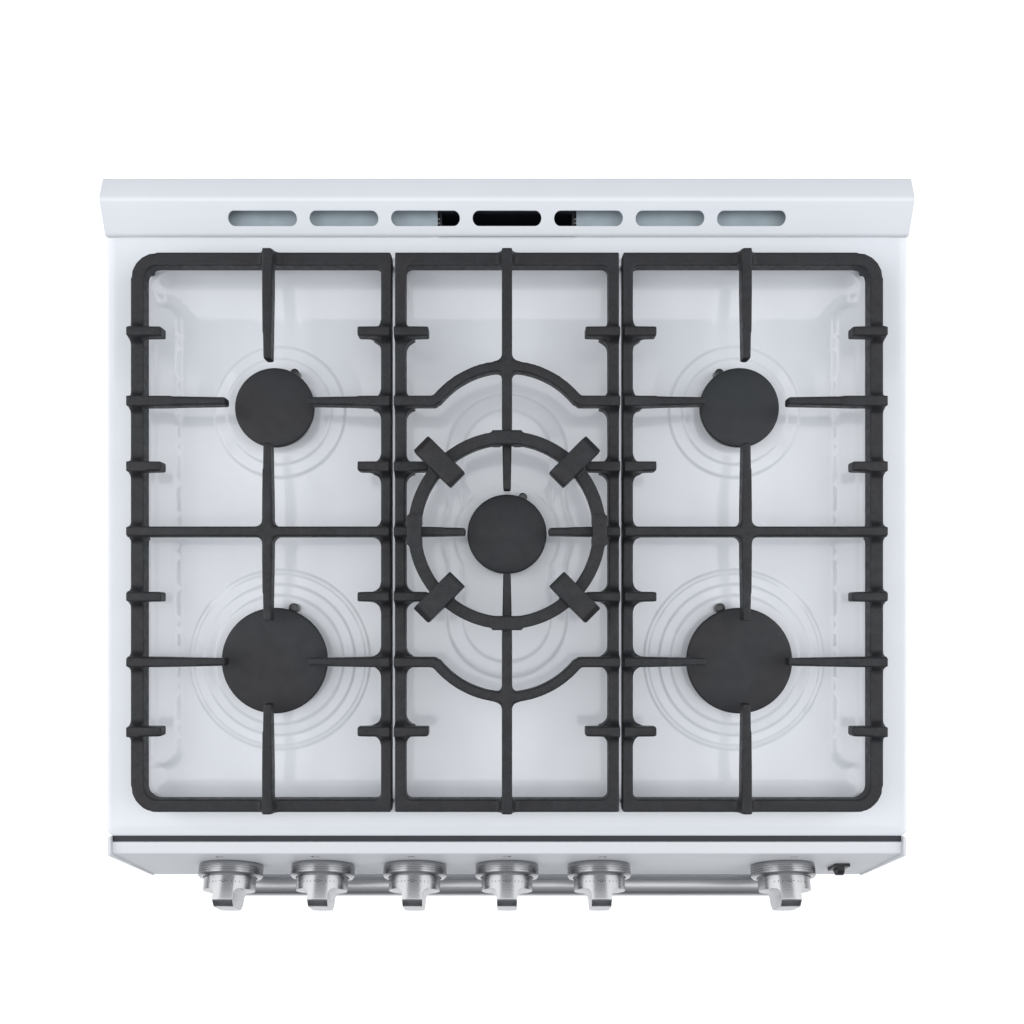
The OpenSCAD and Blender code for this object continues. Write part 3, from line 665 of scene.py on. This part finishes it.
def finger(shape, root, tip, half_root=FINGER_HALF, half_tip=TIP_HALF):
    """A bar from root to tip, both (x, y), narrowing over its last stretch towards the tip."""
    a, b = Vector(root), Vector(tip)
    along = (b - a).normalized()
    side = Vector((-along.y, along.x))
    taper = b - along * min(62.0, (b - a).length * 0.75)
    outline = [a + side * half_root, a - side * half_root, taper - side * half_root, b - side * half_tip,
               b + side * half_tip, taper + side * half_root]
    prism(shape, outline, FINGER_LOW, FINGER_HIGH)


def saddle(shape, x, y, along_x, reach):
    """The flared hump where a finger crosses a frame bar: reach is half the bar's width."""
    flare = [(-12.5, FRAME_HIGH - 1), (-8.0, FRAME_HIGH + 1.2), (-5.6, FRAME_HIGH + 6), (-4.75, FINGER_HIGH),
             (4.75, FINGER_HIGH), (5.6, FRAME_HIGH + 6), (8.0, FRAME_HIGH + 1.2), (12.5, FRAME_HIGH - 1)]
    loops = []
    for s in (-reach, reach):
        if along_x:
            loops.append([(x + s, MID_Y + y + u, RIM_Z + z) for u, z in flare])
        else:
            loops.append([(x + u, MID_Y + y + s, RIM_Z + z) for u, z in flare])
    shape.loft(loops)


def web(shape, x, y, sx, sy, size, z_low=FRAME_LOW, z_high=FINGER_LOW + 4):
    """A curved fillet in the corner at (x, y), opening towards the signs sx and sy."""
    arc = [(x + sx * size * (1 - math.sin(t)), y + sy * size * (1 - math.cos(t)))
           for t in (math.pi / 2 * i / 6 for i in range(7))]
    near_x, near_y = x - sx * 1.0, y - sy * 1.0
    outline = [(near_x, near_y), (near_x, arc[-1][1])] + list(reversed(arc)) + [(arc[0][0], near_y)]
    prism(shape, outline, z_low, z_high)


def foot(shape, x, y):
    pad, top = RIM_Z - 2, RIM_Z + FRAME_LOW + 2
    profile = [(0, pad), (3.0, pad), (3.6, pad + 2), (3.8, top), (0, top)]
    shape.lathe(profile, 24, Matrix.Translation((x, MID_Y + y, 0)))


def frame_corner(shape, x, y, sx, sy, radius):
    """A quarter ring with its centre at (x, y), towards the signs sx and sy."""
    turns = [math.pi / 2 * i / 8 for i in range(9)]
    outer, inner = ([(x + sx * r * math.cos(t), y + sy * r * math.sin(t)) for t in turns]
                    for r in (radius, radius - BAR_OUTER))
    prism(shape, outer + list(reversed(inner)), FRAME_LOW, FRAME_HIGH)


def casting(shape, name, material, voxel=1.5, rounds=5, keep=0.45):
    """Fuses the overlapping forms, rounds every edge a little as a casting is, and thins the mesh."""
    obj = shape.object(name, material, 180.0, 0.001)
    remesh = obj.modifiers.new("fuse", "REMESH")
    remesh.mode = "VOXEL"
    remesh.voxel_size = voxel * MM
    smooth = obj.modifiers.new("round", "SMOOTH")
    smooth.factor = 0.5
    smooth.iterations = rounds
    thin = obj.modifiers.new("thin", "DECIMATE")
    thin.ratio = keep
    apply_modifiers(obj)
    obj.data.materials.clear()
    obj.data.materials.append(material)
    shade(obj, 180.0)
    return obj


def side_half(shape, side, s, outer, inner):
    """The half of a side grate round one burner: s is 1 for the rear half and -1 for the front one."""
    corner, burner = SIDE_CORNER, side * BURNER_DX
    bar_box(shape, outer - side * corner, inner, s * GRATE_Y, s * (GRATE_Y - BAR_OUTER))
    frame_corner(shape, outer - side * corner, s * (GRATE_Y - corner), side, s, corner)
    web(shape, inner + side * BAR_INNER, s * (GRATE_Y - BAR_OUTER), side, -s, 5.0, z_high=FRAME_HIGH)
    near, far = s * (BURNER_DY - TIP_R), s * (BURNER_DY + TIP_R)
    finger(shape, (burner, 0), (burner, near))
    finger(shape, (burner, s * GRATE_Y), (burner, far))
    saddle(shape, burner, s * (GRATE_Y - BAR_OUTER / 2), False, BAR_OUTER / 2)
    finger(shape, (outer, s * BURNER_DY), (burner + side * TIP_R, s * BURNER_DY))
    finger(shape, (inner, s * BURNER_DY), (burner - side * TIP_R, s * BURNER_DY))
    for y in (SHORT_NEAR, SHORT_FAR):
        finger(shape, (outer, s * y), (outer - side * 32, s * y), FINGER_HALF, SHORT_TIP_HALF)
        finger(shape, (inner, s * y), (inner + side * 30, s * y), FINGER_HALF, SHORT_TIP_HALF)
    side_joins(shape, side, s, outer, inner)
    for x, y in FOOT_SPOTS[:2]:
        foot(shape, side * x, s * y)


def side_joins(shape, side, s, outer, inner):
    """The humps and fillets where the fingers of one half meet the frame and the middle bar."""
    for y in (SHORT_NEAR, BURNER_DY, SHORT_FAR):
        saddle(shape, outer - side * BAR_OUTER / 2, s * y, True, BAR_OUTER / 2)
        saddle(shape, inner + side * BAR_INNER / 2, s * y, True, BAR_INNER / 2)
        for t in (-1, 1):
            web(shape, inner + side * BAR_INNER, s * y + t * FINGER_HALF, side, t, 9.0)
    for x, t in ((outer - side * BAR_OUTER, -side), (inner + side * BAR_INNER, side)):
        web(shape, x, s * FINGER_HALF, t, s, 7.0 if t == side else 3.0)
    for t in (-1, 1):
        x = side * BURNER_DX + t * FINGER_HALF
        web(shape, x, s * FINGER_HALF, t, s, 6.0, FINGER_LOW, FINGER_HIGH - 1)


def side_grate(name, side):
    """A side grate: side is -1 for the left one and 1 for the right one."""
    shape = Shape()
    outer, inner = side * SIDE_OUTER, side * SIDE_INNER
    bar_box(shape, outer, outer - side * BAR_OUTER, SIDE_CORNER - GRATE_Y, GRATE_Y - SIDE_CORNER)
    bar_box(shape, inner, inner + side * BAR_INNER, -GRATE_Y, GRATE_Y)
    for s in (-1, 1):
        side_half(shape, side, s, outer, inner)
    bar_box(shape, outer, inner, -FINGER_HALF, FINGER_HALF, FINGER_LOW, FINGER_HIGH)
    saddle(shape, outer - side * BAR_OUTER / 2, 0.0, True, BAR_OUTER / 2)
    saddle(shape, inner + side * BAR_INNER / 2, 0.0, True, BAR_INNER / 2)
    obj = casting(shape, name, IRON)
    stands_for(obj, name.replace("casting", "grate"))


def arc_bar(shape, cy, radius, start, end, half):
    """A bent finger along an arc about (0, cy), between two angles in degrees."""
    steps = 28
    turns = [math.radians(start + (end - start) * i / steps) for i in range(steps + 1)]
    outer = [((radius + half) * math.cos(t), cy + (radius + half) * math.sin(t)) for t in turns]
    inner = [((radius - half) * math.cos(t), cy + (radius - half) * math.sin(t)) for t in turns]
    for i in range(steps):
        prism(shape, [outer[i], outer[i + 1], inner[i + 1], inner[i]], FINGER_LOW, FINGER_HIGH)


def middle_grate():
    """The middle grate, narrower than its solid by SEAM a side so that the hob shows between the grates."""
    shape = Shape()
    edge = high("grate_middle").x - SEAM
    bend_r, bend_y, stub_x, stub_y = 83.0, 68.7, 65.6, 119.6
    arch = bend_y + bend_r
    for s in (-1, 1):
        bar_box(shape, s * edge, s * (edge - BAR_INNER), -GRATE_Y, GRATE_Y)
        bar_box(shape, -edge, edge, s * GRATE_Y, s * (GRATE_Y - BAR_OUTER))
        finger(shape, (0, s * GRATE_Y), (0, s * TIP_R))
        finger(shape, (s * edge, 0), (s * TIP_R, 0))
        saddle(shape, 0, s * (GRATE_Y - BAR_OUTER / 2), False, BAR_OUTER / 2)
        saddle(shape, s * (edge - BAR_INNER / 2), 0, True, BAR_INNER / 2)
        angle = math.degrees(math.atan2(stub_y - bend_y, stub_x))
        if s > 0:
            arc_bar(shape, bend_y, bend_r, angle, 180 - angle, FINGER_HALF)
        else:
            arc_bar(shape, -bend_y, bend_r, -angle, angle - 180, FINGER_HALF)
        for t in (-1, 1):
            web(shape, t * (edge - BAR_INNER), s * (GRATE_Y - BAR_OUTER), -t, -s, 5.0, z_high=FRAME_HIGH)
            finger(shape, (t * edge, s * stub_y), (t * (stub_x - 1), s * stub_y), FINGER_HALF, FINGER_HALF)
            web(shape, t * FINGER_HALF, s * (arch + FINGER_HALF), t, s, 6.0, FINGER_LOW, FINGER_HIGH - 1)
            web(shape, t * FINGER_HALF, s * (arch - FINGER_HALF), t, -s, 5.0, FINGER_LOW, FINGER_HIGH - 1)
            for y in (SHORT_NEAR, SHORT_FAR):
                finger(shape, (t * edge, s * y), (t * (edge - 32), s * y), FINGER_HALF, SHORT_TIP_HALF)
            for y in (SHORT_NEAR, stub_y, SHORT_FAR):
                saddle(shape, t * (edge - BAR_INNER / 2), s * y, True, BAR_INNER / 2)
                for u in (-1, 1):
                    web(shape, t * (edge - BAR_INNER), s * y + u * FINGER_HALF, -t, u, 9.0)
            foot(shape, t * FOOT_SPOTS[2][0], s * FOOT_SPOTS[2][1])
    stands_for(casting(shape, "casting_middle", IRON), "grate_middle")


def wok_support():
    """The loose ring, with four clips over the middle grate's fingers and four lugs between them."""
    shape = Shape()
    base = RIM_Z + FINGER_HIGH
    outer, inner, clip_gap, clip_half, lug_half = 89.3, 78.0, 5.4, 13.5, 9.3
    at = Matrix.Translation((0, MID_Y, 0))
    shape.lathe([(outer, base), (outer, base + 14), (inner, base + 14), (inner, base)], 128, at, True)
    for quarter in range(4):
        turn = at @ Matrix.Rotation(math.pi / 2 * quarter, 4, "Z")
        for s in (-1, 1):
            near, far = sorted((s * clip_gap, s * clip_half))
            shape.box((inner - 0.8, near, base - 6), (outer + 0.8, far, base + 4), turn)
        shape.box((inner - 0.8, -clip_half, base + 1.0), (outer + 0.8, clip_half, base + 14.6), turn)
        lug = [(62.5, 10), (62.5, 24), (66, 26), (104, 26), (109, 21), (109, 4), (76, 4)]
        shape.loft([[(x, y, base + z) for x, z in lug] for y in (-lug_half, lug_half)],
                   place=turn @ Matrix.Rotation(math.pi / 4, 4, "Z"))
    stands_for(casting(shape, "wok_ring_casting", IRON, 1.0, 4, 0.4), "wok_ring")


# ---- Burner caps ----


def caps():
    for spot in BURNERS:
        node = "cap_" + spot
        at = middle(node)
        radius = (high(node).x - low(node).x) / 2
        base, top = CAP_BOTTOM, high(node).z
        rim = [(radius - 16, base), (radius, base), (radius, top - 1.4), (radius - 10, top - 0.3)]
        profile = [(0, base - 1), (radius - 20.4, base - 1), (radius - 20.4, base)]
        profile += eased(rim, 2.0, 5) + [(radius * 0.4, top), (0, top)]
        shape = Shape()
        shape.lathe(profile, 128, Matrix.Translation((at.x, at.y, 0)))
        stands_for(shape.object("burner_" + node, CAP, 50.0), node)


def electrodes():
    """The black boots of the igniters, half under the edge of each cap."""
    shape = Shape()
    offsets = {"rear_left": (17.5, 34.3), "rear_right": (-17.5, 34.3), "middle": (15.0, 35.6),
               "front_left": (16.5, 49.7), "front_right": (-16.5, 49.7)}
    for spot, (dx, dy) in offsets.items():
        at = middle("cap_" + spot)
        radius = 4.7 if abs(dy) > 40 else 4.2
        corners = [(0, WELL_Z + 2), (radius, WELL_Z + 2), (radius, RIM_Z + 1.6), (0, RIM_Z + 1.6)]
        shape.lathe(eased(corners, 1.2, 4), 32, Matrix.Translation((at.x + dx, at.y + dy, 0)))
    stands_for(shape.object("igniters", CERAMIC, 40.0), "spark_electrodes")


# ---- Knobs, their rings and the handle ----

TILT = math.radians(22.7)
PANEL_Y = -303.55
PANEL_Z = RIM_Z - 64.0
PANEL_TOP_Y = -278.8
KNOB_SPOTS = ("front_left", "rear_left", "middle", "rear_right", "front_right", "oven")
DRUM_LOW, DRUM_TOP, TIP_Z, DRUM_R = 8.3, 26.0, 43.2, 26.0


def on_panel(x):
    """Local +Z points out of the sloping face and local +Y points up it."""
    return Matrix.Translation((x, PANEL_Y, PANEL_Z)) @ Matrix.Rotation(math.pi / 2 - TILT, 4, "X")


def grip_outline():
    """The knob's cross-section through its grip: a wide drum, cut away on both sides of a thick blade."""
    half, blade, fillet = 27.0, 10.0, 5.5
    points = [(half, DRUM_LOW - 1), (half, DRUM_TOP)]
    for i in range(9):
        t = math.pi / 2 * i / 8
        points.append((blade + fillet * (1 - math.sin(t)), DRUM_TOP + fillet * (1 - math.cos(t))))
    points.append((blade - 0.4, TIP_Z + 1))
    return points + [(-x, z) for x, z in reversed(points)]


def set_on_panel(obj, x):
    obj.matrix_world = Matrix.Scale(MM, 4) @ on_panel(x) @ Matrix.Scale(1 / MM, 4)


def knobs():
    for spot in KNOB_SPOTS:
        node = "knob_" + spot
        body = Shape()
        corners = [(4.2, DRUM_LOW), (DRUM_R, DRUM_LOW), (DRUM_R - 1, 37.5), (18.5, TIP_Z), (2.0, TIP_Z)]
        body.lathe([(0, DRUM_LOW)] + eased(corners, 1.6, 5) + [(0, TIP_Z)], 96)
        knob = body.object(node + "_body", STEEL_KNOB, 35.0)
        grip = Shape()
        grip.loft([[(x, y, z) for x, z in grip_outline()] for y in (-40.0, 40.0)])
        cutter = grip.object("grip", STEEL_KNOB)
        keep = knob.modifiers.new("grip", "BOOLEAN")
        keep.operation = "INTERSECT"
        keep.object = cutter
        keep.solver = "EXACT"
        chamfered(knob, 0.6)
        apply_modifiers(knob)
        bpy.data.objects.remove(cutter)
        shade(knob, 40.0)
        set_on_panel(knob, middle(node).x)
        stands_for(knob, node)
        knob_marks(node, middle(node).x)


# Strokes of the printed marks: left, right, bottom and top of each.
RING_MARK = [(0, 0.5, 0, 2.6), (2.1, 2.6, 0, 2.6), (0, 2.6, 0, 0.5), (0, 2.6, 2.1, 2.6)]
DASH = [(0, 2.0, 1.0, 1.5)]
TICK = [(0, 0.45, 0.8, 2.6)]
MARK_FOOT = 18.0


def round_drum(radius, along, up):
    """A point at a distance along the drum's round and a height over the marks' foot."""
    return radius * math.sin(along / DRUM_R), radius * math.cos(along / DRUM_R), MARK_FOOT + up


def knob_marks(node, x):
    """A small ring between two dashes, and the setting ticks, printed round the drum."""
    shape = Shape()
    signs = [(RING_MARK, -1.3), (DASH, -4.3), (DASH, 2.3)] + [(TICK, at) for at in (-16, -12, -8, 8, 12, 16)]
    for strokes, start in signs:
        for u0, u1, v0, v1 in strokes:
            stroke = [(u0, v0), (u1, v0), (u1, v1), (u0, v1)]
            shape.loft([[round_drum(radius, start + u, v) for u, v in stroke]
                        for radius in (DRUM_R - 0.8, DRUM_R - 0.34)])
    marks = shape.object(node + "_marks", PRINT, 30.0)
    set_on_panel(marks, x)
    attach(marks, BODY_OF[node])


def burner_icon(shape, x, active):
    """Five dots laid out like the burners, the active one larger."""
    for i, (dx, dy) in enumerate([(-2.6, 2.2), (2.6, 2.2), (0, 0), (-2.6, -2.2), (2.6, -2.2)]):
        radius = 1.5 if i == active else 0.7
        shape.lathe([(0, 0.0), (radius, 0.0), (radius, 0.12), (0, 0.12)], 20,
                    on_panel(x) @ Matrix.Translation((dx, 48.0 + dy, 0.0)))


def panel_marks():
    shape = Shape()
    for spot, active in zip(KNOB_SPOTS, (3, 0, 2, 1, 4, 5)):
        burner_icon(shape, middle("knob_" + spot).x, active)
    marks = shape.object("panel_marks", PRINT, 30.0)
    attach(marks, "root")


def knob_rings():
    """The grooved steel rings. The first one stands for the node that holds all six."""
    profile = [(8, 0.2), (30.6, 0.2), (31.6, 1.2)]
    for z in (2.6 + i * 2.2 for i in range(4)):
        profile += [(31.95, z), (31.95, z + 1.7), (31.6, z + 1.85), (31.6, z + 2.05)]
    profile += [(31.8, 11.6), (30.6, 13.1), (28.6, 13.5), (26.8, 13.2), (26.6, 12.6), (26.6, 5.0), (8, 5.0)]
    for spot in KNOB_SPOTS:
        shape = Shape()
        shape.lathe(profile, 128, None, True)
        ring = shape.object("ring_" + spot, STEEL_KNOB, 30.0)
        set_on_panel(ring, middle("knob_" + spot).x)
        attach(ring, "root")
        if spot == KNOB_SPOTS[0]:
            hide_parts("knob_bezels")


def panel_pressing():
    """The sloping panel with its rolled edges. The rings and the switch housing hide its holes."""
    lo, hi = low("control_panel"), high("control_panel")
    start = (hi.y, lo.z + 20)
    corners = [start, (hi.y, hi.z), (PANEL_TOP_Y, hi.z), (lo.y, lo.z), (hi.y, lo.z), start]
    section = eased(corners, 1.6, 5)[:-1]
    shape = Shape()
    shape.loft([[(x, y, z) for y, z in section] for x in (lo.x, hi.x)])
    # The face takes the satin enamel, whose darker colour is painted shade.
    stands_for(shape.object("panel_face", SHADED_SATIN, 30.0), "control_panel")


def end_caps():
    """The white cheeks at both ends of the control panel."""
    top, foot = RIM_Z - 1.0, low("control_panel").z
    back_y = -262.5
    section = [(back_y, top), (-279.6, top), (-329.2, foot), (back_y, foot)]
    shape = Shape()
    for s in (-1, 1):
        shape.loft([[(s * x, y, z) for y, z in section] for x in (377.7, 380.6)])
    # The cheeks take the same satin enamel, with its painted shade.
    cheeks = shape.object("panel_cheeks", SHADED_SATIN, 30.0)
    chamfered(cheeks, 0.5, 2)
    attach(cheeks, "root")


def handle():
    lo, hi = low("door_handle"), high("door_handle")
    at = middle("door_handle")
    radius = (hi.z - lo.z) / 2
    half = hi.x
    profile = [(0, -half)] + eased([(2, -half), (radius, -half), (radius, 0)], 2.0, 5)
    profile += [(r, -z) for r, z in reversed(profile)]
    shape = Shape()
    turn = Matrix.Translation((0, at.y, at.z)) @ Matrix.Rotation(math.pi / 2, 4, "Y")
    shape.lathe(profile, 64, turn)
    stands_for(shape.object("handle_tube", STEEL_BAR, 50.0), "door_handle")


# ---- CAD nodes that stay: finish and a softened edge ----


def soften(obj, width, angle=40.0, segments=2):
    weld = obj.modifiers.new("weld", "WELD")
    weld.merge_threshold = 0.00002
    bevel = obj.modifiers.new("bevel", "BEVEL")
    bevel.width = width * MM
    bevel.segments = segments
    bevel.limit_method = "ANGLE"
    bevel.angle_limit = math.radians(angle)
    bevel.harden_normals = True


for part in frame["record"]["subparts"]:
    node = NODES[part["node"]]
    node.data.materials.clear()
    node.data.materials.append(FINISH[part["material_slot"]])

SOFTENED = {
    "door_skin": 1.6, "drawer_front": 1.6, "side_panel_left": 0.7, "side_panel_right": 0.7,
    "door_window": 0.5, "handle_brackets": 1.0, "switch_housing": 0.6, "switch_rocker": 0.5,
    "door_liner": 0.8, "drawer_box": 0.4, "front_frame": 0.3, "base_frame": 0.3,
}
for name, width in SOFTENED.items():
    soften(NODES[name], width)

cooktop()
backguard()
side_grate("casting_left", -1)
side_grate("casting_right", 1)
middle_grate()
wok_support()
caps()
electrodes()
knobs()
knob_rings()
panel_marks()
panel_pressing()
end_caps()
handle()

# ---- Camera, light and floor ----

CAMERA_HEIGHT = 980.0
NADIR_AHEAD = 76.4
SENSOR_WIDTH, LENS = 36.0, 36.2
SHIFT_X, SHIFT_Y = 0.0049, 0.1006
CLIP_START = 0.01
HOB = (0.0, 0.1, 0.9)
SIDE_BOX_SIZE, CEILING_SIZE = (2.4, 2.8), (3.0, 1.6)
LEFT_POWER, RIGHT_POWER, CEILING_POWER = 39.0, 36.0, 19.0
ROOM_STRENGTH = 0.95


def camera():
    data = bpy.data.cameras.new("camera")
    data.sensor_width = SENSOR_WIDTH
    data.lens = LENS
    data.shift_x = SHIFT_X
    data.shift_y = SHIFT_Y
    data.clip_start = CLIP_START
    cam = bpy.data.objects.new("camera", data)
    cam.location = Vector((0.0, MID_Y - NADIR_AHEAD, RIM_Z + CAMERA_HEIGHT)) * MM
    bpy.context.scene.collection.objects.link(cam)
    bpy.context.scene.camera = cam


def area(name, place, target, size, power):
    data = bpy.data.lights.new(name, "AREA")
    data.shape = "RECTANGLE"
    data.size, data.size_y = size
    data.energy = power
    lamp = bpy.data.objects.new(name, data)
    lamp.location = place
    lamp.rotation_euler = (Vector(target) - Vector(place)).to_track_quat("-Z", "Y").to_euler()
    bpy.context.scene.collection.objects.link(lamp)


def studio():
    """Soft boxes round the range and a pale room that darkens towards the horizon."""
    area("left_box", (-2.2, 0.2, 2.1), HOB, SIDE_BOX_SIZE, LEFT_POWER)
    area("right_box", (2.2, 0.2, 2.1), HOB, SIDE_BOX_SIZE, RIGHT_POWER)
    area("ceiling", (0.0, -0.05, 3.4), (0.0, -0.05, 0.9), CEILING_SIZE, CEILING_POWER)
    room()


def room():
    """A world whose light changes with height, and a little from front to back."""
    world = bpy.data.worlds.new("studio")
    bpy.context.scene.world = world
    world.use_nodes = True
    nodes, links = world.node_tree.nodes, world.node_tree.links
    split = nodes.new("ShaderNodeSeparateXYZ")
    links.new(nodes.new("ShaderNodeTexCoord").outputs["Generated"], split.inputs["Vector"])
    height = [(0.0, (0.12, 0.125, 0.135)), (0.2, (0.22, 0.23, 0.245)), (0.45, (0.42, 0.44, 0.47)),
              (0.75, (0.62, 0.64, 0.68)), (1.0, (0.46, 0.48, 0.52))]
    sides = [(0.0, (0.62, 0.62, 0.62)), (0.5, (1.0, 1.0, 1.0)), (1.0, (0.5, 0.5, 0.5))]
    across = nodes.new("ShaderNodeMapRange")
    across.inputs["From Min"].default_value = -1.0
    links.new(split.outputs["Y"], across.inputs["Value"])
    both = nodes.new("ShaderNodeMix")
    both.data_type = "RGBA"
    both.blend_type = "MULTIPLY"
    both.inputs[MIX_FACTOR].default_value = 1.0
    links.new(colour_ramp(nodes, links, split.outputs["Z"], height), both.inputs[MIX_FIRST])
    links.new(colour_ramp(nodes, links, across.outputs["Result"], sides), both.inputs[MIX_SECOND])
    links.new(both.outputs[MIX_RESULT], nodes["Background"].inputs["Color"])
    nodes["Background"].inputs["Strength"].default_value = ROOM_STRENGTH
    bpy.context.scene.view_settings.view_transform = "Standard"


def floor():
    """A pale ground that glows a little, so that it renders white as the photo's background is."""
    bm = bmesh.new()
    bmesh.ops.create_grid(bm, x_segments=8, y_segments=8, size=6.0)
    mesh = bpy.data.meshes.new("floor")
    bm.to_mesh(mesh)
    bm.free()
    obj = bpy.data.objects.new("floor", mesh)
    bpy.context.scene.collection.objects.link(obj)
    s = Surface("floor", Roughness=0.7)
    s.set("Base Color", s.ramp(s.noise(3.0), [(0.3, (0.93, 0.93, 0.935)), (0.7, (0.95, 0.95, 0.955))]))
    s.shader.inputs["Emission Color"].default_value = (1.0, 1.0, 1.0, 1.0)
    s.shader.inputs["Emission Strength"].default_value = 0.3
    mesh.materials.append(s.material)


camera()
studio()
floor()
